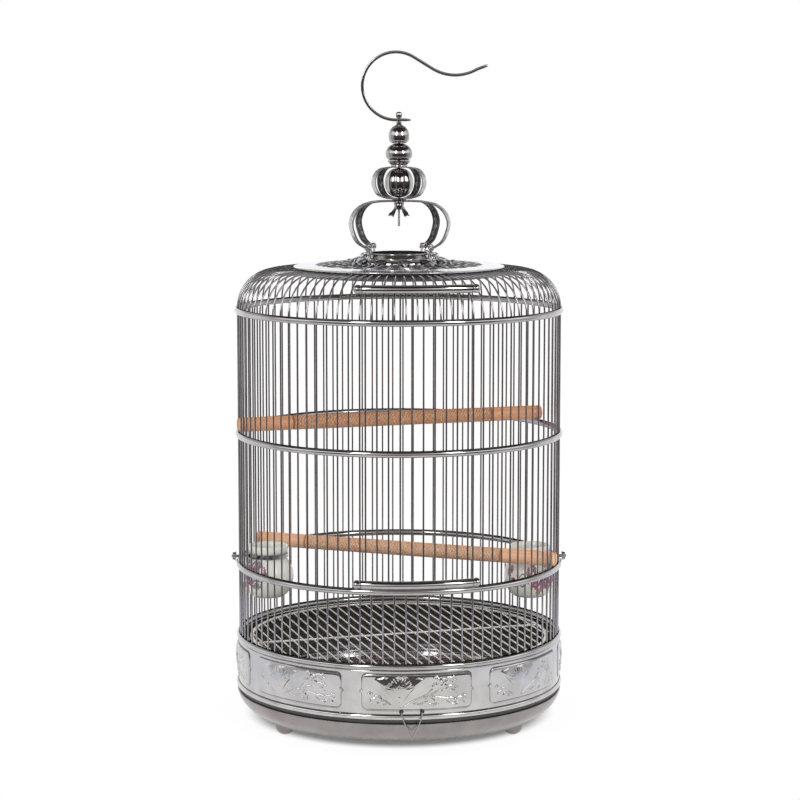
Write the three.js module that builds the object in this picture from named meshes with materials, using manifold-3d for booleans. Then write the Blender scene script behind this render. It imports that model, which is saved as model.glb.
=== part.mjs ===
// Round steel bird cage with two lifting doors, a drop-out tray, two perches, two porcelain cups
// and a hanging hook on an openwork crown. Lengths are in millimetres and angles in degrees.
// +Z is up, the doors face -Y, and the origin lies on the floor under the cage's axis.
import * as THREE from "three";
import { mergeVertices } from "three/addons/utils/BufferGeometryUtils.js";
import Module from "manifold-3d";

const wasm = await Module();
wasm.setup();

// Clearances
const seatGap = 0.3;
const slideGap = 0.8;
const boreGap = 0.3;
const overrun = 2;
const weldBite = 0.5;
const mergeTolerance = 0.02;

// Hoops and wires of the cage wall
const wireCircleRadius = 166.5;
const wireWidth = 1.8;
const wireCount = 92;
const hoopThickness = 7;
const hoopFlatShare = 0.35;
const hoopReachShare = 0.97;
const lowerSectionHeight = 74.8;
const middleSectionHeight = 136.4;
const upperSectionHeight = 127.8;
const doorwayHalfPitches = 5;
const panelCount = 6;
const footStripThickness = 2;
const footStripHeight = 2.2;
const webWidth = 3;
const webHeight = 4;
const webReach = 2.4;

// Shoulder of the wall and the ring that carries the lid
const shoulderRise = 2.6;
const shoulderRadiusShare = 0.6621;
const shoulderTurn = 88;
const shoulderSteps = 3;
const topRingOuterRadius = 108.2;
const topRingWidth = 4.2;
const topRingHeight = 2.4;

// Feet and their screws
const footCount = 3;
const footFirstAngle = -66.3;
const footDiameter = 21.5;
const footHeight = 12.2;
const footFlatDepth = 0.5;
const footEdgeInset = 11;
const footArcSteps = 6;
const screwRadius = 1.7;
const screwDepth = 7;
const screwHeadRadius = 4.5;
const screwHeadHeight = 1.8;
const screwEdge = 0.7;

// Tray
const trayDepth = 24.1;
const trayRimInset = 0.5;
const trayFloorInset = 24;
const trayThickness = 1.2;
const trayLipHeight = 5.5;
const trayWallShares = [[0, 0], [0.42, 0.18], [0.82, 0.55], [1, 0.96]];

// Base band, its bead and the lugs under the grate
const skirtInset = 1.6;
const skirtThickness = 1.2;
const skirtHeight = 45;
const bandFootHeight = 3.5;
const bandFootInset = 0.5;
const beadHeight = 4.4;
const beadReach = 2;
const beadEdge = 0.9;
const flangeWidth = 5.2;
const lugCount = 6;
const lugFirstAngle = 30;
const lugWidth = 8;
const lugThickness = 1.5;
const lugBearing = 5;
const lugDrop = 1.4;

// Grate
const grateWallGap = 7;
const grateRimWidth = 3.5;
const grateThickness = 1.8;
const grateWirePitch = 10.9;
const grateWireWidth = 1.6;
const grateBarWidth = 3;
const grateYaw = 10.2;

// Wire clips that hold the tray
const clipCount = 3;
const clipFirstAngle = -2;
const clipHoleRise = 4.1;
const clipHoleDiameter = 4.6;
const clipHoleSpacing = 20.5;
const clipWireRadius = 0.6;
const clipWireSides = 5;
const clipStandOff = 4.5;
const clipStubLength = 3.5;
const clipStubInset = 2.6;
const clipKneeDrop = 7.9;
const clipKneeInset = 1.75;
const clipKneeStandOff = 4.7;
const clipDrop = 26.7;
const clipTipStandOff = 3.6;

// Lifting doors: each has a curved grip tube with a ball at both ends
const gripRadius = 4.3;
const gripOffset = 2.5;
const gripSides = 8;
const lowerGripHalfAngle = 18.7;
const upperGripHalfAngle = 18.1;
const upperGripRise = 32.8;
const notchGap = 0.5;
const knobRadius = 4.6;
const knobNeckRadius = 3.4;
const knobNeckLength = 0.8;
const knobArcSteps = 5;

// Lid, collar and crown
const lidOverhang = 0.5;
const lidThickness = 1.2;
const lidRise = 5.9;
const lidShares = [[0, 1], [0.3, 1], [0.62, 0.5], [1, 0]];
const lidWindowCount = 12;
const lidWindowWidth = 17;
const lidWindowInnerRadius = 50;
const lidWindowOuterRadius = 88;
const collarRadius = 30.3;
const collarThickness = 1.4;
const collarHeight = 7.8;
const collarRimHeight = 2;
const collarRimReach = 1;
const collarRimEdge = 0.4;
const crownAngles = [-72.3, 65.7, 126.7, -134.3];
const crownRise = 60.6;
const crownRadius = 53.5;
const crownBandWidth = 9.4;
const crownBandThickness = 1.6;
const crownShares = [[0.48, 0.99], [0.72, 0.94], [0.91, 0.79], [1, 0.57], [0.955, 0.34], [0.86, 0.16]];
const crownSteps = 12;
const bracketWidth = 6;
const bracketThickness = 4.6;
const bracketHeight = 12.6;
const bossRadius = 9;
const bossThickness = 3;

// Spindle and what is threaded on it
const spindleRadius = 1.3;
const spindleTail = 24.5;
const spindleInKnob = 4;
const wingNutHeight = 7;
const wingNutTopRadius = 5.4;
const wingNutFootRadius = 3.6;
const wingDrop = 15.6;
const wingSpan = 11.5;
const wingRootRadius = 2.6;
const wingTipHeight = 3.6;
const wingNotch = 2.2;
const wingThickness = 1.4;
const lanternHeight = 33.6;
const lanternRadius = 29;
const lanternAngles = [-69.3, 56.7, 131.7, -144.3];
const lanternBandWidth = 8.4;
const lanternBandThickness = 1.1;
const lanternDiscRadius = 9;
const lanternDiscThickness = 1.3;
const lanternShares = [[0.42, 0.99], [0.76, 0.92], [0.98, 0.66], [0.98, 0.4], [0.8, 0.13], [0.46, 0.01]];
const lanternSteps = 10;
const eggRadius = 14.75;
const eggArcSteps = 8;
const finialCupHeight = 5.8;
const finialCupRadius = 11.8;
const finialCupFootRadius = 8.6;
const lowerBallHeight = 16.9;
const lowerBallRadius = 13.9;
const upperBallHeight = 18.4;
const upperBallRadius = 10.75;
const ballShares = [[0.72, 0], [0.97, 0.2], [1, 0.36], [0.93, 0.58], [0.72, 0.83], [0.36, 1]];
const neckRadius = 3;
const neckHeight = 3.4;
const knobNutRadius = 3.3;
const knobNutHeight = 6.4;
const knobNutShares = [[0.62, 0], [1, 0.35], [1, 0.7], [0.6, 1]];

// Hanging hook
const hookYaw = -6.3;
const hookBarWidth = 7;
const hookBarThickness = 3.2;
const hookBarChamfer = 0.8;
const hookHeelLength = 12;
const hookBendRadius = 34.4;
const hookBendOffset = 3.1;
const hookBendEnd = 57;
const hookBendSteps = 13;
const hookTailRadius = 45;
const hookTailOffset = 57.5;
const hookTailRise = 45.4;
const hookTailStart = -123;
const hookTailEnd = -60;
const hookTailSteps = 5;
const hookTipLength = 12.4;
const hookTipAngle = 20;

// Perches
const perchRadius = 7.5;
const perchSides = 10;
const perchEndPast = 1.6;
const perchChamfer = 1.6;
const perchGrooveDepth = 0.8;
const perchGrooveWidth = 2;
const perchRingInset = 5;
const perchSmoothLength = 50;
const upperPerchAngles = [-87.3, 110.4];
const lowerPerchAngles = [-123, 66.7];

// Porcelain cups, their strap rings and nuts
const leftCupAngle = -95.9;
const rightCupAngle = 84.1;
const cupStandIn = 29.5;
const cupRimRise = 17;
const cupHeight = 54;
const cupWall = 2.4;
const cupFootRadius = 17;
const cupBellyRadius = 26.7;
const cupNeckRadius = 19.4;
const cupCollarRadius = 20.9;
const cupNeckHeight = 5.6;
const cupCollarHeight = 7;
const cupLipRise = 0.6;
const cupBellyShares = [[0.72, 0.21], [1, 0.52], [0.85, 0.77]];
const strapThickness = 1;
const strapHeight = 4.6;
const boltRadius = 1.5;
const boltPast = 1.2;
const plateWidth = 13;
const plateHeight = 9;
const plateThickness = 1.6;
const nutFlangeRadius = 5;
const nutFlangeThickness = 1;
const nutRadius = 3.9;
const nutThickness = 2.8;

// Facets of round pieces
const hoopFacets = Math.round(wireCount / 2);
const wallFacets = 36;
const roundFacets = 18;
const smallFacets = 10;
const boreFacets = 8;

// Heights that follow from the sizes above, from the floor up
const pitch = 360 / wireCount;
const slotHalf = wireWidth / 2 + slideGap;
const hoopHalf = hoopThickness / 2;
const slotEdgeRise = Math.sqrt(hoopHalf ** 2 - slotHalf ** 2);
const trayLevel = footHeight + seatGap;
const trayShoulderLevel = trayLevel + trayDepth;
const bandFootLevel = trayShoulderLevel + seatGap;
const beadLevel = bandFootLevel + bandFootHeight;
const skirtLevel = beadLevel + beadHeight;
const bandTopLevel = skirtLevel + skirtHeight;
const wireFootLevel = bandTopLevel + seatGap;
const baseHoopLevel = wireFootLevel + slotEdgeRise;
const lowerHoopLevel = baseHoopLevel + lowerSectionHeight;
const middleHoopLevel = lowerHoopLevel + middleSectionHeight;
const upperHoopLevel = middleHoopLevel + upperSectionHeight;
const lugTopLevel = bandTopLevel - lugDrop;
const grateLevel = lugTopLevel + seatGap;
const shoulderLevel = upperHoopLevel + shoulderRise;
const shoulderRadius = (wireCircleRadius - topRingOuterRadius) * shoulderRadiusShare;
const shoulderEnd = shoulderPoint(topRingOuterRadius + seatGap);
const topRingLevel = shoulderEnd[1] - topRingHeight / 2;
const lidLevel = topRingLevel + topRingHeight + seatGap;
const collarLevel = lidLevel + lidRise + lidThickness + seatGap;
const crownTopLevel = collarLevel + crownRise;
const bossTopLevel = crownTopLevel + bossThickness / 2;
const bossFootLevel = crownTopLevel - bossThickness / 2;
const lanternLevel = bossTopLevel + seatGap;
const finialCupLevel = lanternLevel + lanternHeight + seatGap;
const lowerBallLevel = finialCupLevel + finialCupHeight + seatGap;
const upperBallLevel = lowerBallLevel + lowerBallHeight + seatGap;
const hookLevel = upperBallLevel + upperBallHeight + neckHeight + seatGap;
const knobNutLevel = hookLevel + hookBarThickness + seatGap;

// Radii that follow from the sizes above
const hoopOuterRadius = wireCircleRadius + hoopHalf;
const hoopInnerRadius = wireCircleRadius - hoopHalf;
const skirtRadius = hoopOuterRadius - skirtInset;
const skirtInnerRadius = skirtRadius - skirtThickness;
const trayRimRadius = hoopOuterRadius - trayRimInset;
const trayFloorRadius = hoopOuterRadius - trayFloorInset;
const footCircleRadius = trayFloorRadius - footEdgeInset;
const lidRadius = topRingOuterRadius + lidOverhang;
const spindleBore = spindleRadius + boreGap;

// Finishes
const polishedSteel = finish(0xd6d6da, 0.12, 1);
const satinSteel = finish(0xbdbcc0, 0.38, 1);
const wireSteel = finish(0x9a999c, 0.25, 1);
const engravedSteel = finish(0x8e8e90, 0.3, 1);
const turnedWood = finish(0xc98d5c, 0.6, 0);
const porcelain = finish(0xece8e4, 0.12, 0);

function finish(color, roughness, metalness) {
  return new THREE.MeshStandardMaterial({ color, roughness, metalness });
}

function radians(angle) {
  return THREE.MathUtils.degToRad(angle);
}

function mix(from, to, share) {
  return from + (to - from) * share;
}

// The point at an angle from the front, a radius and a height
function around(angle, radius, height) {
  const turn = radians(angle);
  return new THREE.Vector3(radius * Math.sin(turn), -radius * Math.cos(turn), height);
}

// A path that turns exactly at each of its points
class Route extends THREE.Curve {
  constructor(points) {
    super();
    this.points = points;
  }

  getPoint(share) {
    const place = share * (this.points.length - 1);
    const index = Math.min(Math.floor(place), this.points.length - 2);
    return this.points[index].clone().lerp(this.points[index + 1], place - index);
  }

  getUtoTmapping(share) {
    return share;
  }
}

// A closed geometry as a solid, with its faces turned outwards
function solid(geometry) {
  const shell = geometry.clone();
  shell.deleteAttribute("normal");
  shell.deleteAttribute("uv");
  const merged = mergeVertices(shell);
  const places = merged.getAttribute("position");
  const index = merged.index.array;
  const corner = [new THREE.Vector3(), new THREE.Vector3(), new THREE.Vector3()];
  const triangles = [];
  let volume = 0;
  for (let i = 0; i < index.length; i += 3) {
    const [a, b, c] = index.slice(i, i + 3);
    if (a === b || b === c || c === a) {
      continue;
    }
    triangles.push([a, b, c]);
    [a, b, c].forEach((vertex, side) => corner[side].fromBufferAttribute(places, vertex));
    volume += corner[0].dot(corner[1].cross(corner[2]));
  }
  const facingOut = volume < 0 ? triangles.map(([a, b, c]) => [a, c, b]) : triangles;
  const mesh = new wasm.Mesh({
    numProp: 3,
    vertProperties: new Float32Array(places.array),
    triVerts: new Uint32Array(facingOut.flat()),
  });
  return new wasm.Manifold(mesh);
}

function joined(bodies) {
  return bodies.reduce((whole, body) => whole.add(body));
}

function without(body, cutters) {
  return cutters.reduce((rest, cutter) => rest.subtract(cutter), body);
}

function turned(body, angle) {
  return body.rotate([0, 0, angle]);
}

// A body turned about +Z from a profile of [radius, height] points
function lathe(profile, facets) {
  const onAxis = profile[0][0] === 0 && profile.at(-1)[0] === 0;
  const closed = onAxis ? profile : [...profile, profile[0]];
  const points = closed.map(([radius, height]) => new THREE.Vector2(radius, height));
  return solid(new THREE.LatheGeometry(points, facets).rotateX(Math.PI / 2));
}

// The closed profile of a sheet whose thickness lies to the left of its points
function sheet(points, thickness) {
  const sides = points.slice(1).map(([x, y], i) => {
    const run = new THREE.Vector2(x - points[i][0], y - points[i][1]).normalize();
    return new THREE.Vector2(-run.y, run.x);
  });
  const inner = points.map(([x, y], i) => {
    const before = sides[Math.max(i - 1, 0)];
    const after = sides[Math.min(i, sides.length - 1)];
    const reach = thickness / (1 + before.dot(after));
    return [x + (before.x + after.x) * reach, y + (before.y + after.y) * reach];
  });
  return [...points, ...inner.reverse()];
}

// Heights and radii of a ball's outline between two heights, as [radius, height] points
function ballProfile(radius, centre, from, to, steps) {
  const start = Math.asin((from - centre) / radius);
  const end = Math.asin((to - centre) / radius);
  return Array.from({ length: steps + 1 }, (_, i) => {
    const rise = mix(start, end, i / steps);
    return [radius * Math.cos(rise), centre + radius * Math.sin(rise)];
  });
}

function rectangle(width, height) {
  const shape = new THREE.Shape();
  shape.moveTo(-width / 2, -height / 2);
  shape.lineTo(width / 2, -height / 2);
  shape.lineTo(width / 2, height / 2);
  shape.lineTo(-width / 2, height / 2);
  return shape;
}

function polygon(radius, sides) {
  const corners = Array.from({ length: sides }, (_, i) => {
    const turn = ((i + 0.5) / sides) * 2 * Math.PI;
    return new THREE.Vector2(radius * Math.cos(turn), radius * Math.sin(turn));
  });
  return new THREE.Shape(corners);
}

function bar(section, points) {
  const settings = { steps: points.length - 1, extrudePath: new Route(points) };
  return solid(new THREE.ExtrudeGeometry(section, settings));
}

function block(width, depth, height, centre) {
  const box = new THREE.BoxGeometry(width, depth, height);
  return solid(box.translate(centre.x, centre.y, centre.z));
}

// A round bar that points outwards from the axis at an angle
function radialPin(radius, facets, angle, from, to, height) {
  const pin = lathe([[0, 0], [radius, 0], [radius, to - from], [0, to - from]], facets);
  return turned(pin.rotate([90, 0, 0]).translate([0, -from, height]), angle);
}

function nearestWire(angle) {
  return Math.round(angle / pitch) * pitch;
}

function nearestGap(angle) {
  return (Math.floor(angle / pitch) + 0.5) * pitch;
}

// Names every body, gives it its finish and adds it to the cage
const cage = new THREE.Group();

function piece(name, body, material, place = {}) {
  const { vertProperties, triVerts } = body.asOriginal().simplify(mergeTolerance).getMesh();
  const geometry = new THREE.BufferGeometry();
  geometry.setAttribute("position", new THREE.BufferAttribute(vertProperties, 3));
  geometry.setIndex(new THREE.BufferAttribute(triVerts, 1));
  geometry.computeVertexNormals();
  const mesh = new THREE.Mesh(geometry, material);
  mesh.name = name;
  mesh.position.copy(place.at ?? new THREE.Vector3());
  mesh.rotation.z = radians(place.angle ?? 0);
  cage.add(mesh);
  return mesh;
}

function level(height) {
  return new THREE.Vector3(0, 0, height);
}

// Wire numbers of the panels: each panel holds the wires from one number up to the next
function panelStarts() {
  const first = doorwayHalfPitches;
  const total = wireCount + 1 - 2 * doorwayHalfPitches;
  return Array.from({ length: panelCount + 1 }, (_, i) => first + Math.round((i * total) / panelCount));
}

// A hoop is a round bar with a slot for the wires, bridged between the panels
function hoopBody() {
  const flat = hoopHalf * hoopFlatShare;
  const reach = hoopHalf * hoopReachShare;
  const cheek = [[slotHalf, -slotEdgeRise], [reach, -flat], [reach, flat], [slotHalf, slotEdgeRise]];
  const outer = lathe(cheek.map(([x, z]) => [wireCircleRadius + x, z]), hoopFacets);
  const inner = lathe(cheek.map(([x, z]) => [wireCircleRadius - x, z]), hoopFacets);
  const web = block(webWidth, 2 * webReach, webHeight, new THREE.Vector3(0, -wireCircleRadius, 0));
  const webs = panelStarts().slice(1, -1).map((start) => turned(web, (start - 0.5) * pitch));
  return joined([outer, inner, ...webs]);
}

function addHoops() {
  const levels = {
    base_hoop: baseHoopLevel,
    lower_hoop: lowerHoopLevel,
    middle_hoop: middleHoopLevel,
    upper_hoop: upperHoopLevel,
  };
  for (const [name, height] of Object.entries(levels)) {
    piece(name, hoopBody(), polishedSteel, { at: level(height) });
  }
}

// The [radius, height] where the straight top of a shoulder wire reaches a radius
function shoulderPoint(radius) {
  const turn = radians(shoulderTurn);
  const bendRadius = wireCircleRadius - shoulderRadius * (1 - Math.cos(turn));
  const bendLevel = shoulderLevel + shoulderRadius * Math.sin(turn);
  return [radius, bendLevel + (bendRadius - radius) / Math.tan(turn)];
}

// A wire that climbs from a height, bends over the shoulder and stops at a radius
function shoulderWire(angle, from, endRadius) {
  const points = [around(angle, wireCircleRadius, from)];
  for (let i = 0; i <= shoulderSteps; i += 1) {
    const turn = radians((shoulderTurn * i) / shoulderSteps);
    const radius = wireCircleRadius - shoulderRadius * (1 - Math.cos(turn));
    points.push(around(angle, radius, shoulderLevel + shoulderRadius * Math.sin(turn)));
  }
  points.push(around(angle, endRadius, shoulderPoint(endRadius)[1]));
  return bar(rectangle(wireWidth, wireWidth), points);
}

function straightWire(angle, from, to) {
  const ends = [around(angle, wireCircleRadius, from), around(angle, wireCircleRadius, to)];
  return bar(rectangle(wireWidth, wireWidth), ends);
}

// A flat strip that follows the circle of wires through the given wire numbers
function wireStrip(numbers, bottom) {
  const height = bottom + footStripHeight / 2;
  const inner = numbers.map((number) => around(number * pitch, wireCircleRadius, height));
  const past = (wireWidth / 2 + weldBite) / wireCircleRadius;
  const first = around(numbers[0] * pitch - THREE.MathUtils.radToDeg(past), wireCircleRadius, height);
  const last = around(numbers.at(-1) * pitch + THREE.MathUtils.radToDeg(past), wireCircleRadius, height);
  return bar(rectangle(footStripHeight, footStripThickness), [first, ...inner, last]);
}

function range(first, last) {
  return Array.from({ length: last - first + 1 }, (_, i) => first + i);
}

function addWirePanels() {
  const starts = panelStarts();
  for (let i = 0; i < panelCount; i += 1) {
    const numbers = range(starts[i], starts[i + 1] - 1);
    const from = wireFootLevel + weldBite;
    const end = topRingOuterRadius + seatGap;
    const wires = numbers.map((number) => shoulderWire(number * pitch, from, end));
    const body = joined([wireStrip(numbers, wireFootLevel), ...wires]);
    piece(`wire_panel_${i + 1}`, body, wireSteel);
  }
}

// The wire numbers inside the doorway: whole ones, and those half a pitch between them
const doorwayWhole = range(1 - doorwayHalfPitches, doorwayHalfPitches - 1);
const doorwayHalves = range(-doorwayHalfPitches, doorwayHalfPitches - 1).map((number) => number + 0.5);

function addTopRing() {
  const inner = topRingOuterRadius - topRingWidth;
  const foot = topRingLevel;
  const top = topRingLevel + topRingHeight;
  const profile = [[inner, foot], [topRingOuterRadius, foot], [topRingOuterRadius, top], [inner, top]];
  const from = upperHoopLevel - slotEdgeRise + seatGap;
  const end = topRingOuterRadius - weldBite;
  const wires = doorwayWhole.map((number) => shoulderWire(number * pitch, from, end));
  piece("top_ring", joined([lathe(profile, hoopFacets), ...wires]), wireSteel);
}

function addFrontMiddleWires() {
  const stripLevel = middleHoopLevel - slotEdgeRise + seatGap;
  const from = lowerHoopLevel - slotEdgeRise + seatGap;
  const wires = doorwayHalves.map((number) => straightWire(number * pitch, from, stripLevel + weldBite));
  const body = joined([wireStrip(doorwayHalves, stripLevel), ...wires]);
  piece("front_middle_wires", body, wireSteel);
}

// Grip tube of a door, curved to the cage
function gripTube(halfAngle, height) {
  const radius = wireCircleRadius + gripOffset;
  const steps = Math.ceil((2 * halfAngle) / pitch);
  const points = range(0, steps).map((i) => around(mix(-halfAngle, halfAngle, i / steps), radius, height));
  return bar(polygon(gripRadius, gripSides), points);
}

// A ball end with a short neck, standing on the end of a grip, on the left (-1) or right (1)
function knobBody(side, halfAngle, height) {
  const neckTop = -Math.sqrt(knobRadius ** 2 - knobNeckRadius ** 2);
  const neckFoot = -knobRadius - knobNeckLength;
  const dome = ballProfile(knobRadius, 0, neckTop, knobRadius, knobArcSteps).slice(0, -1);
  const profile = [[0, neckFoot], [knobNeckRadius, neckFoot], ...dome, [0, knobRadius]];
  const radius = wireCircleRadius + gripOffset;
  const angle = halfAngle + THREE.MathUtils.radToDeg((seatGap - neckFoot) / radius);
  const knob = lathe(profile, smallFacets).rotate([0, side * 90, 0]);
  return turned(knob.translate([0, -radius, height]), side * angle);
}

// A groove at the back of a grip that a fixed wire runs in
function gripNotch(number, height) {
  const back = wireCircleRadius + gripOffset - gripRadius - overrun;
  const front = wireCircleRadius + wireWidth / 2 + notchGap;
  const centre = new THREE.Vector3(0, -(back + front) / 2, height);
  const width = wireWidth + 2 * notchGap;
  return turned(block(width, front - back, 2 * (gripRadius + overrun), centre), number * pitch);
}

function addDoor(name, numbers, from, gripLevel, halfAngle, notches) {
  const wires = numbers.map((number) => straightWire(number * pitch, from, gripLevel));
  const grip = without(gripTube(halfAngle, gripLevel), notches);
  piece(name, joined([grip, ...wires]), polishedSteel);
  for (const [word, side] of [["left", -1], ["right", 1]]) {
    const knob = without(knobBody(side, halfAngle, gripLevel), notches);
    piece(`${name}_${word}_knob`, knob, polishedSteel);
  }
}

function addDoors() {
  const lowerGripLevel = lowerHoopLevel + slotEdgeRise + seatGap + gripRadius * Math.cos(Math.PI / gripSides);
  const guides = [-doorwayHalfPitches, ...doorwayHalves, doorwayHalfPitches];
  const notches = guides.map((number) => gripNotch(number, lowerGripLevel));
  addDoor("lower_door", doorwayWhole, wireFootLevel, lowerGripLevel, lowerGripHalfAngle, notches);
  const from = middleHoopLevel - slotEdgeRise + footStripHeight + 2 * seatGap;
  const upperGripLevel = upperHoopLevel + upperGripRise;
  addDoor("upper_door", doorwayHalves, from, upperGripLevel, upperGripHalfAngle, []);
}

// The base band: recessed foot, bead, tall skirt and the flange under the base hoop
function addBaseBand() {
  const footRadius = skirtRadius - bandFootInset;
  const footInner = footRadius - skirtThickness;
  const beadRadius = skirtRadius + beadReach;
  const flangeInner = skirtRadius - flangeWidth;
  const profile = [
    [footInner, bandFootLevel],
    [footRadius, bandFootLevel],
    [footRadius, beadLevel],
    [beadRadius, beadLevel + beadEdge],
    [beadRadius, skirtLevel - beadEdge],
    [skirtRadius, skirtLevel],
    [skirtRadius, bandTopLevel],
    [flangeInner, bandTopLevel],
    [flangeInner, bandTopLevel - skirtThickness],
    [skirtInnerRadius, bandTopLevel - skirtThickness],
    [skirtInnerRadius, skirtLevel],
  ];
  const lugReach = skirtInnerRadius - grateRadius() + lugBearing + weldBite;
  const lugCentre = -(skirtInnerRadius + weldBite - lugReach / 2);
  const lugPlace = new THREE.Vector3(0, lugCentre, lugTopLevel - lugThickness / 2);
  const lug = block(lugWidth, lugReach, lugThickness, lugPlace);
  const lugs = range(0, lugCount - 1).map((i) => turned(lug, lugFirstAngle + (i * 360) / lugCount));
  const holes = range(0, clipCount - 1).flatMap((i) => clipHoles(clipFirstAngle + (i * 360) / clipCount));
  piece("base_band", without(joined([lathe(profile, wallFacets), ...lugs]), holes), polishedSteel);
}

function clipHoles(angle) {
  const height = skirtLevel + clipHoleRise;
  const from = skirtInnerRadius - overrun;
  const hole = radialPin(clipHoleDiameter / 2, boreFacets, 0, from, skirtRadius + overrun, height);
  return [-1, 1].map((side) => turned(hole.translate([(side * clipHoleSpacing) / 2, 0, 0]), angle));
}

// A bent wire clip: stubs inside the band, legs out through its holes, and a V down over the tray
function addClips() {
  const rise = skirtLevel + clipHoleRise;
  const half = clipHoleSpacing / 2;
  const inner = -(skirtInnerRadius - clipStubInset);
  const leg = -(skirtRadius + clipStandOff);
  const knee = -(skirtRadius + clipKneeStandOff);
  const side = (sign) => [
    new THREE.Vector3(sign * (half + clipStubLength), inner, rise),
    new THREE.Vector3(sign * half, inner, rise),
    new THREE.Vector3(sign * half, leg, rise),
    new THREE.Vector3(sign * (half - clipKneeInset), knee, rise - clipKneeDrop),
  ];
  const tip = new THREE.Vector3(0, -(skirtRadius + clipTipStandOff), rise - clipDrop);
  const wire = bar(polygon(clipWireRadius, clipWireSides), [...side(-1), tip, ...side(1).reverse()]);
  for (let i = 0; i < clipCount; i += 1) {
    piece(`tray_clip_${i + 1}`, wire, wireSteel, { angle: clipFirstAngle + (i * 360) / clipCount });
  }
}

function footAngle(i) {
  return footFirstAngle + (i * 360) / footCount;
}

function addTray() {
  const wall = trayWallShares.map(([across, up]) => [
    mix(trayFloorRadius, trayRimRadius, across), trayDepth * up,
  ]);
  const lipRadius = skirtRadius - bandFootInset - skirtThickness - slideGap;
  const edge = [trayRimRadius - trayThickness, trayDepth];
  const lip = [[lipRadius, trayDepth], [lipRadius, trayDepth + trayLipHeight]];
  const pan = lathe(sheet([[0, 0], ...wall, edge, ...lip], trayThickness), wallFacets);
  const height = trayThickness + 2 * overrun;
  const radius = screwRadius + boreGap;
  const hole = lathe([[0, 0], [radius, 0], [radius, height], [0, height]], smallFacets);
  const holes = range(0, footCount - 1).map((i) => {
    return turned(hole.translate([0, -footCircleRadius, -overrun]), footAngle(i));
  });
  piece("tray", without(pan, holes), satinSteel, { at: level(trayLevel) });
}

// A ball foot with a flat to stand on, cut at the top by the tray, and bored for its screw
function addFeet() {
  const radius = footDiameter / 2;
  const ball = ballProfile(radius, radius - footFlatDepth, 0, footHeight, footArcSteps);
  const bore = screwRadius + boreGap;
  const boreFoot = footHeight - screwDepth;
  const foot = lathe([[0, 0], ...ball, [bore, footHeight], [bore, boreFoot], [0, boreFoot]], smallFacets);
  const headFoot = trayLevel + trayThickness + seatGap;
  const headTop = headFoot + screwHeadHeight;
  const profile = [
    [0, boreFoot + seatGap],
    [screwRadius, boreFoot + seatGap],
    [screwRadius, headFoot],
    [screwHeadRadius, headFoot],
    [screwHeadRadius, headTop - screwEdge],
    [screwHeadRadius - screwEdge, headTop],
    [0, headTop],
  ];
  for (let i = 0; i < footCount; i += 1) {
    const at = around(footAngle(i), footCircleRadius, 0);
    piece(`foot_${i + 1}`, foot, polishedSteel, { at });
    piece(`foot_screw_${i + 1}`, lathe(profile, smallFacets), satinSteel, { at });
  }
}

function grateRadius() {
  return hoopInnerRadius - grateWallGap;
}

// The grate: a flat rim, parallel wires and one bar across them
function addGrate() {
  const radius = grateRadius();
  const inner = radius - grateRimWidth;
  const profile = [[inner, 0], [radius, 0], [radius, grateThickness], [inner, grateThickness]];
  const half = grateThickness / 2;
  const span = (offset) => 2 * Math.sqrt((inner + weldBite) ** 2 - offset ** 2) - 2 * weldBite;
  const most = Math.floor(inner / grateWirePitch - 0.5);
  const wires = range(-most, most + 1).map((number) => {
    const offset = (number - 0.5) * grateWirePitch;
    return block(grateWireWidth, span(offset), grateThickness, new THREE.Vector3(offset, 0, half));
  });
  const cross = block(span(0), grateBarWidth, grateThickness, level(half));
  const body = joined([lathe(profile, wallFacets), ...wires, cross]);
  piece("grate", body, satinSteel, { at: level(grateLevel), angle: grateYaw });
}

// The lid: a shallow plate with a ring of windows
function addLid() {
  const profile = lidShares.map(([across, up]) => [lidRadius * across, lidRise * up]);
  const middle = (lidWindowInnerRadius + lidWindowOuterRadius) / 2;
  const half = (lidWindowOuterRadius - lidWindowInnerRadius) / 2;
  const outline = new THREE.Shape();
  outline.moveTo(0, -half);
  outline.quadraticCurveTo(lidWindowWidth, 0, 0, half);
  outline.quadraticCurveTo(-lidWindowWidth, 0, 0, -half);
  const depth = lidRise + lidThickness + 2 * overrun;
  const leaf = solid(new THREE.ExtrudeGeometry(outline, { depth, bevelEnabled: false, curveSegments: 2 }));
  const windows = range(0, lidWindowCount - 1).map((i) => {
    return turned(leaf.translate([0, -middle, -overrun]), (i * 360) / lidWindowCount);
  });
  const plate = lathe(sheet(profile, lidThickness), wallFacets);
  piece("lid", without(plate, windows), polishedSteel, { at: level(lidLevel) });
}

function addCollar() {
  const inner = collarRadius - collarThickness;
  const rim = collarRadius + collarRimReach;
  const profile = [
    [inner, 0],
    [collarRadius, 0],
    [collarRadius, collarHeight - collarRimHeight],
    [rim, collarHeight - collarRimHeight + collarRimEdge],
    [rim, collarHeight - collarRimEdge],
    [rim - collarRimEdge, collarHeight],
    [inner, collarHeight],
  ];
  piece("collar", lathe(profile, roundFacets), polishedSteel, { at: level(collarLevel) });
}

// A smooth strap through points of a side view, as a body in front of the axis
function strapBand(points, width, thickness, steps) {
  const curve = new THREE.CatmullRomCurve3(points.map(([radius, height]) => around(0, radius, height)));
  return bar(rectangle(width, thickness), curve.getSpacedPoints(steps));
}

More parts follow.
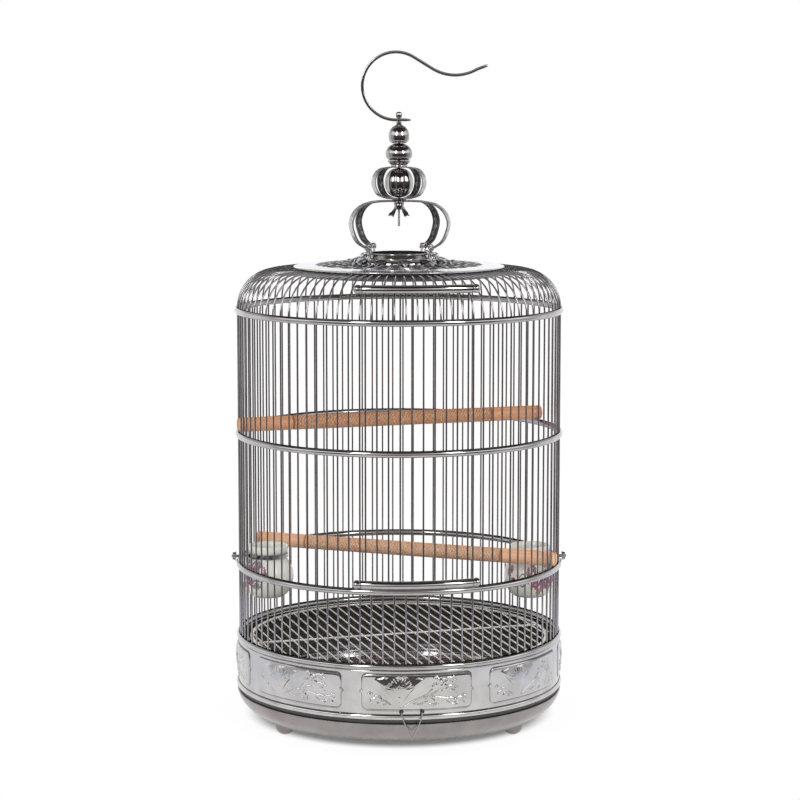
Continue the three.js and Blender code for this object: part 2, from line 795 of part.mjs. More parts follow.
function addCrown() {
  const bracketInner = collarRadius + collarRimReach + seatGap;
  const bracketMiddle = bracketInner + bracketThickness / 2;
  const ribFoot = bracketHeight - crownBandThickness;
  const points = crownShares.map(([across, up]) => [crownRadius * across, mix(ribFoot, crownRise, up)]);
  const ends = [[bossRadius + seatGap, crownRise], [bracketMiddle, ribFoot]];
  const strap = strapBand([ends[0], ...points, ends[1]], crownBandWidth, crownBandThickness, crownSteps);
  const centre = new THREE.Vector3(0, -bracketMiddle, bracketHeight / 2);
  const bracket = block(bracketWidth, bracketThickness, bracketHeight, centre);
  crownAngles.forEach((angle, i) => {
    piece(`crown_rib_${i + 1}`, strap.add(bracket), engravedSteel, { at: level(collarLevel), angle });
  });
  const profile = [
    [spindleBore, 0], [bossRadius, 0], [bossRadius, bossThickness], [spindleBore, bossThickness],
  ];
  piece("crown_boss", lathe(profile, roundFacets), polishedSteel, { at: level(bossFootLevel) });
}

function addSpindle() {
  const top = knobNutLevel + spindleInKnob;
  const bottom = bossFootLevel - spindleTail;
  const height = top - bottom;
  const profile = [[0, 0], [spindleRadius, 0], [spindleRadius, height], [0, height]];
  piece("spindle", lathe(profile, smallFacets), wireSteel, { at: level(bottom) });
}

// The wing nut: a stepped body with two fishtail wings that hang down and outwards
function addWingNut() {
  const top = bossFootLevel - seatGap;
  const profile = [
    [spindleBore, -wingNutHeight],
    [wingNutFootRadius, -wingNutHeight],
    [wingNutTopRadius, 0],
    [spindleBore, 0],
  ];
  const wing = new THREE.Shape();
  wing.moveTo(wingRootRadius, -wingNutHeight + weldBite);
  wing.lineTo(wingSpan - wingTipHeight, -wingDrop);
  wing.lineTo(wingSpan - wingTipHeight / 2, -wingDrop + wingNotch / 2);
  wing.lineTo(wingSpan, -wingDrop + wingTipHeight - wingNotch);
  wing.lineTo(wingNutFootRadius, -wingNutHeight + wingTipHeight / 2);
  const settings = { depth: wingThickness, bevelEnabled: false };
  const flat = solid(new THREE.ExtrudeGeometry(wing, settings));
  const right = flat.translate([0, 0, -wingThickness / 2]).rotate([90, 0, 0]);
  const body = joined([lathe(profile, smallFacets), right, turned(right, 180)]);
  piece("wing_nut", body, engravedSteel, { at: level(top), angle: hookYaw });
}

// The lantern of four straps between two discs, and the egg inside it
function addLantern() {
  const disc = [[spindleBore, 0], [lanternDiscRadius, 0]];
  const round = [...disc, ...disc.toReversed().map(([radius]) => [radius, lanternDiscThickness])];
  const foot = lathe(round, roundFacets);
  const head = foot.translate([0, 0, lanternHeight - lanternDiscThickness]);
  const half = lanternDiscThickness / 2;
  const points = lanternShares.map(([across, up]) => {
    return [lanternRadius * across, mix(half, lanternHeight - half, up)];
  });
  const start = lanternDiscRadius - 2 * weldBite;
  const ends = [[start, lanternHeight - half], [start, half]];
  const path = [ends[0], ...points, ends[1]];
  const strap = strapBand(path, lanternBandWidth, lanternBandThickness, lanternSteps);
  const straps = lanternAngles.map((angle) => turned(strap, angle));
  piece("lantern", joined([foot, head, ...straps]), engravedSteel, { at: level(lanternLevel) });

  const eggHeight = lanternHeight - 2 * (lanternDiscThickness + seatGap);
  const limit = Math.acos(spindleBore / eggRadius);
  const egg = range(0, eggArcSteps).map((i) => {
    const rise = mix(-limit, limit, i / eggArcSteps);
    return [eggRadius * Math.cos(rise), (eggHeight / 2) * (1 + Math.sin(rise) / Math.sin(limit))];
  });
  const eggLevel = lanternLevel + lanternDiscThickness + seatGap;
  piece("lantern_egg", lathe(egg, roundFacets), polishedSteel, { at: level(eggLevel) });
}

// A bead of the finial, bored for the spindle, with an optional neck on top
function beadBody(radius, height, neck) {
  const outline = ballShares.map(([across, up]) => [radius * across, height * up]);
  const top = neck > 0 ? [[neckRadius, height], [neckRadius, height + neck]] : [];
  const end = [spindleBore, height + neck];
  return lathe([[spindleBore, 0], ...outline, ...top, end], roundFacets);
}

function addFinial() {
  const cup = [
    [spindleBore, 0],
    [finialCupFootRadius, 0],
    [finialCupRadius, finialCupHeight],
    [spindleBore, finialCupHeight],
  ];
  piece("finial_cup", lathe(cup, roundFacets), polishedSteel, { at: level(finialCupLevel) });
  const lower = beadBody(lowerBallRadius, lowerBallHeight, 0);
  piece("finial_lower_ball", lower, polishedSteel, { at: level(lowerBallLevel) });
  const upper = beadBody(upperBallRadius, upperBallHeight, neckHeight);
  piece("finial_upper_ball", upper, polishedSteel, { at: level(upperBallLevel) });
  const shell = knobNutShares.map(([across, up]) => [knobNutRadius * across, knobNutHeight * up]);
  const boreTop = spindleInKnob + seatGap;
  const knob = [[spindleBore, 0], ...shell, [0, knobNutHeight], [0, boreTop], [spindleBore, boreTop]];
  piece("knob_nut", lathe(knob, smallFacets), polishedSteel, { at: level(knobNutLevel) });
}

// A bar section with its edges taken off
function hookSection() {
  const x = hookBarThickness / 2;
  const y = hookBarWidth / 2;
  const cut = hookBarChamfer;
  const corners = [
    [x, -y + cut], [x, y - cut], [x - cut, y], [cut - x, y],
    [-x, y - cut], [-x, cut - y], [cut - x, -y], [x - cut, -y],
  ];
  return new THREE.Shape(corners.map(([across, up]) => new THREE.Vector2(across, up)));
}

// Points of an arc in the XZ plane, from one angle to another
function arc(x, z, radius, from, to, steps) {
  return range(0, steps).map((i) => {
    const turn = radians(mix(from, to, i / steps));
    return new THREE.Vector3(x + radius * Math.cos(turn), 0, z + radius * Math.sin(turn));
  });
}

// The hook: a heel on the spindle, a round bend that opens to the right, and a tail that turns up
function addHook() {
  const middle = hookBarThickness / 2;
  const bend = arc(-hookBendOffset, middle + hookBendRadius, hookBendRadius, 270, hookBendEnd, hookBendSteps);
  const tailCentre = middle + hookTailRise + hookTailRadius;
  const tail = arc(
    hookTailOffset, tailCentre, hookTailRadius, hookTailStart, hookTailEnd, hookTailSteps,
  );
  const tip = tail.at(-1).clone();
  tip.x += hookTipLength * Math.cos(radians(hookTipAngle));
  tip.z += hookTipLength * Math.sin(radians(hookTipAngle));
  const heel = new THREE.Vector3(hookHeelLength, 0, middle);
  const strip = bar(hookSection(), [heel, ...bend, ...tail, tip]);
  const height = hookBarThickness + 2 * overrun;
  const hole = lathe([[0, 0], [spindleBore, 0], [spindleBore, height], [0, height]], smallFacets);
  const body = strip.subtract(hole.translate([0, 0, -overrun]));
  piece("hook", body, polishedSteel, { at: level(hookLevel), angle: hookYaw });
}

// A perch from wire to wire: turned ends with grooves, slotted to slip on the wires
function perchBody(length) {
  const radius = perchRadius;
  const groove = (place) => [
    [radius, place - perchGrooveWidth / 2],
    [radius - perchGrooveDepth, place],
    [radius, place + perchGrooveWidth / 2],
  ];
  const places = [perchRingInset, perchSmoothLength, length - perchSmoothLength, length - perchRingInset];
  const profile = [
    [0, 0],
    [radius - perchChamfer, 0],
    [radius, perchChamfer],
    ...places.flatMap(groove),
    [radius, length - perchChamfer],
    [radius - perchChamfer, length],
    [0, length],
  ];
  const rod = lathe(profile, perchSides).translate([0, 0, -length / 2]).rotate([0, 90, 0]);
  const width = wireWidth * Math.SQRT2 + 2 * notchGap;
  const depth = perchEndPast + width / 2;
  const slot = (side) => {
    const centre = new THREE.Vector3(side * (length / 2 - depth / 2 + overrun / 2), 0, 0);
    return block(depth + overrun, width, 2 * (radius + overrun), centre);
  };
  return without(rod, [slot(-1), slot(1)]);
}

function addPerch(name, angles, hoopLevel) {
  const height = hoopLevel + slotEdgeRise + seatGap + perchRadius;
  const [from, to] = angles.map((angle) => around(nearestWire(angle), wireCircleRadius, height));
  const run = to.clone().sub(from);
  const angle = THREE.MathUtils.radToDeg(Math.atan2(run.y, run.x));
  const body = perchBody(run.length() + 2 * perchEndPast);
  piece(name, body, turnedWood, { at: from.add(to).multiplyScalar(0.5), angle });
}

// A porcelain cup in its strap ring, bolted through a gap between two wires
function addCup(word, angle) {
  const rim = lowerHoopLevel + cupRimRise;
  const foot = rim - cupHeight;
  const neckTop = cupHeight - cupCollarHeight - cupLipRise;
  const neckFoot = neckTop - cupNeckHeight;
  const belly = cupBellyShares.map(([across, up], i) => {
    const from = i === 0 ? cupFootRadius : cupNeckRadius;
    return [mix(from, cupBellyRadius, across), neckFoot * up];
  });
  const outline = [
    [0, 0],
    [cupFootRadius, 0],
    ...belly,
    [cupNeckRadius, neckFoot],
    [cupNeckRadius, neckTop],
    [cupCollarRadius, neckTop + cupLipRise],
    [cupCollarRadius, cupHeight],
  ];
  const centreRadius = wireCircleRadius - cupStandIn;
  const turn = nearestGap(angle);
  const at = around(turn, centreRadius, foot);
  piece(`${word}_cup`, lathe(sheet(outline, cupWall), roundFacets), porcelain, { at, angle: turn });

  const inner = cupNeckRadius + slideGap;
  const low = (neckFoot + neckTop - strapHeight) / 2;
  const high = low + strapHeight;
  const outer = inner + strapThickness;
  const ring = lathe([[inner, low], [outer, low], [outer, high], [inner, high]], roundFacets);
  const boltLevel = lowerHoopLevel + slotEdgeRise + seatGap + boltRadius - foot;
  const plateFace = cupStandIn - hoopHalf * hoopReachShare - slideGap;
  const nutFace = cupStandIn + hoopHalf * hoopReachShare + seatGap;
  const boltEnd = nutFace + nutFlangeThickness + nutThickness + boltPast;
  const bolt = radialPin(boltRadius, smallFacets, 0, inner + strapThickness / 2, boltEnd, boltLevel);
  const plateCentre = new THREE.Vector3(0, plateThickness / 2 - plateFace, boltLevel);
  const plate = block(plateWidth, plateThickness, plateHeight, plateCentre);
  piece(`${word}_cup_holder`, joined([ring, bolt, plate]), satinSteel, { at, angle: turn });

  const bore = boltRadius + boreGap;
  const profile = [
    [bore, 0],
    [nutFlangeRadius, 0],
    [nutFlangeRadius, nutFlangeThickness],
    [nutRadius, nutFlangeThickness],
    [nutRadius, nutFlangeThickness + nutThickness],
    [bore, nutFlangeThickness + nutThickness],
  ];
  const nut = lathe(profile, smallFacets).rotate([90, 0, 0]).translate([0, -nutFace, boltLevel]);
  piece(`${word}_cup_nut`, nut, satinSteel, { at, angle: turn });
}

addHoops();
addWirePanels();
addTopRing();
addFrontMiddleWires();
addDoors();
addBaseBand();
addClips();
addTray();
addFeet();
addGrate();
addLid();
addCollar();
addCrown();
addSpindle();
addWingNut();
addLantern();
addFinial();
addHook();
addPerch("upper_perch", upperPerchAngles, middleHoopLevel);
addPerch("lower_perch", lowerPerchAngles, lowerHoopLevel);
addCup("left", leftCupAngle);
addCup("right", rightCupAngle);

export default cage;
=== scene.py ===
"""Looks of a round steel bird cage with two doors, wooden perches and porcelain cups.

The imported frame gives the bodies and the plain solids. Each class below builds one
sub-assembly as finished meshes in millimetres and hands them over in metres, so that
they ride on the frame's bodies and stand for its solids.
"""

import functools
import logging
import math
from collections.abc import Callable, Iterable, Sequence
from dataclasses import dataclass
from enum import Enum

import bmesh
import bpy
import numpy as np
from mathutils import Matrix, Vector


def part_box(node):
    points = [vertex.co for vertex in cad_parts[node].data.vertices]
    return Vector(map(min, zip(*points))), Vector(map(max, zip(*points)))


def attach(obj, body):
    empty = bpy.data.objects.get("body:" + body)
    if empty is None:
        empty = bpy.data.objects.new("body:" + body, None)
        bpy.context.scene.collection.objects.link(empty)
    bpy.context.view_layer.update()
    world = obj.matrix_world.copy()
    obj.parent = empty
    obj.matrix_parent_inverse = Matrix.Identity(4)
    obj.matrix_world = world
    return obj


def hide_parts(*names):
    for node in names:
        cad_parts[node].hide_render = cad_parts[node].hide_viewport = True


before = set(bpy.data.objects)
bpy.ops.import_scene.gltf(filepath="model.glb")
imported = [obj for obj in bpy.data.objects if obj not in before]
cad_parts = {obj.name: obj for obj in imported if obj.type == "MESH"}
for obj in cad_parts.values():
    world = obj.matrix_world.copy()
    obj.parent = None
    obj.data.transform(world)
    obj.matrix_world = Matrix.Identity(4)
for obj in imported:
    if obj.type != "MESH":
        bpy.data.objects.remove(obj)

log = logging.getLogger("bird_cage")

MM = 1000.0  # millimetres in a metre
WIRES = 92  # upright wires round the cage
PITCH = 360 / WIRES  # degrees from one wire to the next
WIRE_CIRCLE = 166.5  # radius of the circle that the wires stand on
WIRE_RADIUS = 0.9
WIRE_SIDES = 10
HOOP_RADIUS = 3.5
SLOT_HALF = 1.7  # half of the slot that the wires run in through a hoop
DOORWAY = 5  # wires from the middle of the doorway to its side
PANELS = 6  # wire panels that the wall is welded from
SKIRT_RADIUS = 168.4  # outside of the base band's plain skirt
SHEET = 1.2  # thickness of the pressed sheets
CLIP_ANGLES = (-2, 118, 238)
CLIP_SPACING = 20.5  # between the two holes of a clip
STUD_RADIUS = 1.6  # hole of the parts that are threaded on the spindle
FACING = -6.3  # angle that the camera, the hook and the wing nut face
GRATE_RADIUS = 156.0
SAME_PLACE = 2e-6  # metres between points that count as one
WHOLES = list(range(1 - DOORWAY, DOORWAY))  # numbers of the wires across the doorway
HALVES = [i + 0.5 for i in range(-DOORWAY, DOORWAY)]  # numbers half a pitch off them

Colour = tuple[float, float, float]
Pair = tuple[float, float]
Triple = tuple[float, float, float]


# --------------------------------------------------------------------------- points


def around(angle: float, radius: float, height: float) -> np.ndarray:
    """Point at an angle from the cage's front, in millimetres."""
    turn = math.radians(angle)
    return np.array([radius * math.sin(turn), -radius * math.cos(turn), height])


def sideways(angle: float) -> Triple:
    """Level direction across the plane of an angle."""
    turn = math.radians(angle)
    return (math.cos(turn), math.sin(turn), 0)


def turned(points: Iterable[Sequence[float]], angle: float) -> np.ndarray:
    """Points turned about the cage's axis by an angle in degrees."""
    turn = Matrix.Rotation(math.radians(angle), 3, "Z")
    return np.array([turn @ Vector(point) for point in points])


@functools.cache
def span(node: str) -> Pair:
    """Lowest and highest height of a CAD solid at rest, in millimetres."""
    low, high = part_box(node)
    return low[2] * MM, high[2] * MM


def mid_height(node: str) -> float:
    """Height of the middle of a CAD solid, in millimetres."""
    return sum(span(node)) / 2


def soft_step(value: np.ndarray, start: float, end: float) -> np.ndarray:
    """Smooth rise from 0 at start to 1 at end."""
    share = np.clip((value - start) / (end - start), 0, 1)
    return share * share * (3 - 2 * share)


def rounded(path: Sequence[Sequence[float]], radius: float, steps: int = 4) -> np.ndarray:
    """Takes the corners off an open path.

    Args:
        path: Points of the path, in two or three dimensions.
        radius: How far from a corner the curve starts, at most.
        steps: Pieces in each curve.

    Returns:
        The points of the smoother path.
    """
    points = [np.asarray(point, float) for point in path]
    made = [points[0]]
    for before, corner, after in zip(points, points[1:], points[2:]):
        reach_in = min(radius, np.linalg.norm(corner - before) / 2.05)
        reach_out = min(radius, np.linalg.norm(after - corner) / 2.05)
        start = corner + (before - corner) / np.linalg.norm(before - corner) * reach_in
        end = corner + (after - corner) / np.linalg.norm(after - corner) * reach_out
        for i in range(steps + 1):
            t = i / steps
            made.append((1 - t) ** 2 * start + 2 * t * (1 - t) * corner + t * t * end)
    made.append(points[-1])
    return np.array(made)


def spline(points: Sequence[Sequence[float]], steps: int) -> np.ndarray:
    """Even points along a centripetal Catmull-Rom curve through the given ones.

    Args:
        points: Points that the curve runs through.
        steps: Pieces that the curve is cut into.

    Returns:
        The steps + 1 points, evenly spaced along the curve.
    """
    knots = np.asarray(points, float)
    knots = np.vstack([2 * knots[0] - knots[1], knots, 2 * knots[-1] - knots[-2]])
    fine = []
    for i in range(1, len(knots) - 2):
        a, b, c, d = knots[i - 1 : i + 3]
        t0 = 0.0
        t1 = t0 + np.linalg.norm(b - a) ** 0.5
        t2 = t1 + np.linalg.norm(c - b) ** 0.5
        t3 = t2 + np.linalg.norm(d - c) ** 0.5
        for t in np.linspace(t1, t2, 24, endpoint=False):
            ab = (t1 - t) / (t1 - t0) * a + (t - t0) / (t1 - t0) * b
            bc = (t2 - t) / (t2 - t1) * b + (t - t1) / (t2 - t1) * c
            cd = (t3 - t) / (t3 - t2) * c + (t - t2) / (t3 - t2) * d
            abc = (t2 - t) / (t2 - t0) * ab + (t - t0) / (t2 - t0) * bc
            bcd = (t3 - t) / (t3 - t1) * bc + (t - t1) / (t3 - t1) * cd
            fine.append((t2 - t) / (t2 - t1) * abc + (t - t1) / (t2 - t1) * bcd)
    fine.append(knots[-2])
    curve = np.array(fine)
    lengths = np.concatenate([[0], np.cumsum(np.linalg.norm(np.diff(curve, axis=0), axis=1))])
    places = np.linspace(0, lengths[-1], steps + 1)
    return np.stack([np.interp(places, lengths, curve[:, k]) for k in range(curve.shape[1])], axis=1)


def ring(radius: float, sides: int) -> np.ndarray:
    """Section of a round bar."""
    turns = np.arange(sides) * 2 * math.pi / sides
    return np.stack([radius * np.cos(turns), radius * np.sin(turns)], axis=1)


def bar_section(width: float, thickness: float, edge: float, steps: int = 3) -> np.ndarray:
    """Section of a flat bar with round edges.

    Args:
        width: Size across the bar.
        thickness: Size through the bar.
        edge: Radius of the edges.
        steps: Pieces in each edge.

    Returns:
        The section's points, in order.
    """
    made = []
    for x, y, first in [(1, 1, 0), (-1, 1, 90), (-1, -1, 180), (1, -1, 270)]:
        for i in range(steps + 1):
            turn = math.radians(first + 90 * i / steps)
            made.append((
                x * (width / 2 - edge) + edge * math.cos(turn),
                y * (thickness / 2 - edge) + edge * math.sin(turn),
            ))
    return np.array(made)


def flat_ring(outer: float, width: float, level: float, half: float) -> np.ndarray:
    """Profile of a flat ring with rounded edges.

    Args:
        outer: Its outer radius.
        width: Its width.
        level: Height of its middle.
        half: Half of its thickness.

    Returns:
        Radius and height of the profile's points, without the first one again.
    """
    inner = outer - width
    low, high = level - half, level + half
    corners = [(inner + 1, low), (inner, low), (inner, high), (outer, high), (outer, low),
               (inner + 1, low)]
    return rounded(corners, 0.5, 3)[:-1]


def steepness(height: np.ndarray) -> np.ndarray:
    """How much a grid of heights changes from one point to the next."""
    return np.hypot(np.gradient(height, axis=1), np.gradient(height, axis=0))


# --------------------------------------------------------------------------- meshes


class Form:
    """A mesh being built from grids of points, in millimetres.

    Attributes:
        points: Point arrays added so far.
        faces: Point numbers of each face.
        finishes: Number of each face's finish.
        depths: How raised and how lit each point is, from 0 in a recess or in painted shade to 1 on a
            crest.
        count: Points added so far.
    """

    def __init__(self) -> None:
        """Starts with nothing in it."""
        self.points: list[np.ndarray] = []
        self.faces: list[Sequence[int]] = []
        self.finishes: list[int] = []
        self.depths: list[np.ndarray] = []
        self.count = 0

    def add(self, points: np.ndarray, faces: Iterable[Sequence[int]], finish: int = 0,
            depth: np.ndarray | None = None) -> None:
        """Adds points and faces.

        Args:
            points: Array of points, one row each.
            faces: Point numbers of each face, from 0 in this array.
            finish: Number of the finish.
            depth: How raised and lit each point is, 0 giving a recess or painted shade, or None for 1
                everywhere.
        """
        start = self.count
        listed = [tuple(start + i for i in face) for face in faces]
        self.points.append(np.asarray(points, float))
        self.faces += listed
        self.finishes += [finish] * len(listed)
        self.depths.append(np.ones(len(points)) if depth is None else depth.reshape(-1))
        self.count += len(points)

    def grid(self, rows: np.ndarray, round_rows: bool = False, finish: int = 0,
             depth: np.ndarray | None = None, keep: np.ndarray | None = None,
             ends: Sequence[int] = ()) -> None:
        """Adds a grid of points joined by four-sided faces, with its last column joined to its first.

        Args:
            rows: Points as an array of rows, columns and coordinates.
            round_rows: Whether the last row joins the first.
            finish: Number of the finish.
            depth: How raised and lit each point is; low values paint shade.
            keep: Which faces to keep, or None for all.
            ends: Rows that one face each closes.
        """
        m, n, _ = rows.shape
        index = np.arange(m * n).reshape(m, n)
        closing = [index[row].tolist() for row in ends]
        if round_rows:
            index = np.vstack([index, index[:1]])
        index = np.hstack([index, index[:, :1]])
        quads = np.stack([index[:-1, :-1], index[:-1, 1:], index[1:, 1:], index[1:, :-1]], axis=-1)
        quads = quads.reshape(-1, 4) if keep is None else quads[keep]
        self.add(rows.reshape(-1, 3), quads.tolist() + closing, finish, depth)

    def lathe(self, profile: Sequence[Sequence[float]], sides: int, closed: bool = True,
              centre: Sequence[float] = (0, 0, 0), finish: int = 0,
              fluting: Callable[[np.ndarray, np.ndarray], np.ndarray] | None = None,
              depths: Sequence[float] | None = None) -> None:
        """Turns a profile about an upright axis.

        Args:
            profile: Radius and height of each point.
            sides: Facets round the full turn.
            closed: Whether the profile's last point joins its first.
            centre: Point that the profile's zero stands on.
            finish: Number of the finish.
            fluting: Gives what is added to the radius at each angle and height.
            depths: How raised and lit each profile point is, low values painting shade, or None for 1
                everywhere.
        """
        turns = np.radians(np.arange(sides) * 360 / sides)
        wide = np.ones((1, sides))
        radii, heights = (np.array([p[k] for p in profile], float)[:, None] * wide for k in (0, 1))
        if fluting is not None:
            radii = np.maximum(radii + np.where(radii > 0, fluting(turns[None, :], heights), 0), 0)
        rows = np.stack([
            centre[0] + radii * np.sin(turns), centre[1] - radii * np.cos(turns), centre[2] + heights,
        ], axis=-1)
        depth = None if depths is None else np.array(depths, float)[:, None] * wide
        self.grid(rows, round_rows=closed, finish=finish, depth=depth)

    def sweep(self, path: np.ndarray, section: np.ndarray, across: Sequence[float] | np.ndarray,
              finish: int = 0, scale: np.ndarray | None = None, depth: np.ndarray | None = None) -> None:
        """Runs a section along an open path, and closes both ends.

        Args:
            path: Points of the path.
            section: Points of the section, or one section for each path point.
            across: Direction of the section's first coordinate, for all or for each path point.
            finish: Number of the finish.
            scale: Factor on the section at each path point.
            depth: How raised and lit each point is; low values paint shade.
        """
        path = np.asarray(path, float)
        ahead = np.vstack([path[1:], 2 * path[-1] - path[-2]])
        behind = np.vstack([2 * path[0] - path[1], path[:-1]])
        tangent = ahead - behind
        tangent /= np.linalg.norm(tangent, axis=1)[:, None]
        side = np.asarray(across, float) * np.ones((len(path), 1))
        side = side - tangent * np.sum(side * tangent, axis=1)[:, None]
        side /= np.linalg.norm(side, axis=1)[:, None]
        lift = np.cross(side, tangent)
        sections = np.asarray(section, float)
        if sections.ndim == 2:
            sections = np.repeat(sections[None], len(path), axis=0)
        if scale is not None:
            sections = sections * np.asarray(scale)[:, None, None]
        rows = path[:, None] + sections[..., :1] * side[:, None] + sections[..., 1:] * lift[:, None]
        self.grid(rows, finish=finish, depth=depth, ends=(0, -1))

    def block(self, centre: Sequence[float], size: Sequence[float], edge: float, angle: float) -> None:
        """Adds a plate or block with its edges taken off, turned about the cage's axis.

        Args:
            centre: Middle of the block before it is turned.
            size: Width, depth and height.
            edge: How much comes off the edges.
            angle: Turn about the upright axis, from the front.
        """
        mesh = bmesh.new()
        bmesh.ops.create_cube(mesh, size=1, matrix=Matrix.Diagonal((*size, 1)))
        bmesh.ops.bevel(mesh, geom=mesh.edges[:], offset=edge, segments=2, affect="EDGES", profile=0.7)
        mesh.verts.index_update()
        points = turned([v.co + Vector(centre) for v in mesh.verts], angle)
        self.add(points, [[v.index for v in f.verts] for f in mesh.faces])
        mesh.free()

    def mesh(self, name: str) -> bpy.types.Mesh:
        """Blender's mesh of the form, in metres."""
        made = bpy.data.meshes.new(name)
        made.from_pydata((np.vstack(self.points) / MM).tolist(), [], self.faces)
        return made


class Slot(Enum):
    """Material slots of the record."""

    POLISHED = "polished_steel"
    SATIN = "satin_steel"
    WIRE = "wire_steel"
    ENGRAVED = "engraved_steel"
    WOOD = "turned_wood"
    PORCELAIN = "porcelain"


def placed(name: str, data: bpy.types.ID) -> bpy.types.Object:
    """Object of some data, put in the scene."""
    made = bpy.data.objects.new(name, data)
    bpy.context.scene.collection.objects.link(made)
    return made


def finished(form: Form, name: str, node: str, slot: Slot, *materials: bpy.types.Material,
             body: str = "cage", sharp: float = 38) -> bpy.types.Object:
    """Makes the object of a form, and puts it on its body in place of its CAD solid.

    Args:
        form: The mesh as built, in millimetres.
        name: Name of the piece.
        node: CAD solid that it stands for.
        slot: Material slot of the record for its finish; not used.
        *materials: Finishes in the order of the form's numbers.
        body: CAD body that the piece moves with.
        sharp: Angle between faces, in degrees, above which an edge stays sharp.

    Returns:
        The new object.
    """
    mesh = form.mesh(name)
    mesh.polygons.foreach_set("material_index", form.finishes)
    # The raised share is low in recesses and where a piece paints shade, and the finishes darken it
    # there.
    raised = mesh.attributes.new("raised", "FLOAT", "POINT")
    raised.data.foreach_set("value", np.concatenate(form.depths).astype(np.float32))
    shape = bmesh.new()
    shape.from_mesh(mesh)
    bmesh.ops.remove_doubles(shape, verts=shape.verts[:], dist=SAME_PLACE)
    bmesh.ops.recalc_face_normals(shape, faces=shape.faces[:])
    shape.to_mesh(mesh)
    shape.free()
    mesh.polygons.foreach_set("use_smooth", [True] * len(mesh.polygons))
    mesh.set_sharp_from_angle(angle=math.radians(sharp))
    for material in materials:
        mesh.materials.append(material)
    made = placed(name, mesh)
    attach(made, body)
    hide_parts(node)
    log.info("%s on %s: %d faces", name, body, len(mesh.polygons))
    return made


class Relief:
    """Raised work on a flat field, drawn with soft forms.

    Attributes:
        s: Place along the field at each grid point, in millimetres.
        t: Place up the field at each grid point.
        height: How far each grid point stands out.
    """

    def __init__(self, s: np.ndarray, t: np.ndarray) -> None:
        """Starts flat over the given places."""
        self.s, self.t = s, t
        self.height = np.zeros(np.broadcast(s, t).shape)

    def raise_to(self, form: np.ndarray) -> None:
        """Lets a form stand out where it is higher than what is there."""
        self.height = np.maximum(self.height, form)

    def line(self, path: Sequence[Pair], width: float) -> np.ndarray:
        """Share of a soft line along a path.

        Args:
            path: Points of the line.
            width: Half of its width.

        Returns:
            1 on the line, falling to 0 at its edges.
        """
        nearest = np.full(self.height.shape, 1e9)
        for (x0, y0), (x1, y1) in zip(path, path[1:]):
            dx, dy = x1 - x0, y1 - y0
            along = np.clip(((self.s - x0) * dx + (self.t - y0) * dy) / (dx * dx + dy * dy), 0, 1)
            nearest = np.minimum(nearest, np.hypot(self.s - x0 - along * dx, self.t - y0 - along * dy))
        return np.sqrt(np.clip(1 - (nearest / width) ** 2, 0, 1))

    def leaf(self, root: Pair, length: float, width: float, angle: float, rise: float) -> None:
        """Raises a pointed leaf with a vein.

        Args:
            root: Where the leaf starts.
            length: Its length.
            width: Half of its width.
            angle: Its direction, in degrees from the field's right.
            rise: How high it stands.
        """
        turn = math.radians(angle)
        x, y = self.s - root[0], self.t - root[1]
        u = (x * math.cos(turn) + y * math.sin(turn)) / length
        v = (y * math.cos(turn) - x * math.sin(turn)) / width
        outline = np.sin(np.pi * np.clip(u, 0, 1) ** 0.75)
        fill = np.clip(1 - (v / np.maximum(outline, 1e-3)) ** 2, 0, 1) * (u > 0) * (u < 1)
        vein = 1 - 0.45 * np.exp(-((v / 0.16) ** 2))
        self.raise_to(rise * np.sqrt(fill) * vein)

    def blossom(self, centre: Pair, radius: float, petals: int, rise: float, turn: float = 0) -> None:
        """Raises an open flower with round petals.

        Args:
            centre: Middle of the flower.
            radius: Radius to its petals' tips.
            petals: Number of petals.
            rise: How high it stands.
            turn: Angle of the first petal, in degrees.
        """
        x, y = self.s - centre[0], self.t - centre[1]
        angle = np.arctan2(y, x) - math.radians(turn)
        edge = radius * (0.78 + 0.22 * np.cos(petals * angle))
        out = np.hypot(x, y) / edge
        dish = 0.55 + 0.45 * soft_step(out, 0.2, 0.85)
        groove = 1 - 0.5 * np.exp(-(((np.cos(petals * angle) + 1) / 0.35) ** 2))
        self.raise_to(rise * np.sqrt(np.clip(1 - out**4, 0, 1)) * dish * groove)
        self.raise_to(rise * 1.1 * np.sqrt(np.clip(1 - (out / 0.24) ** 2, 0, 1)))


# --------------------------------------------------------------------------- shader maths


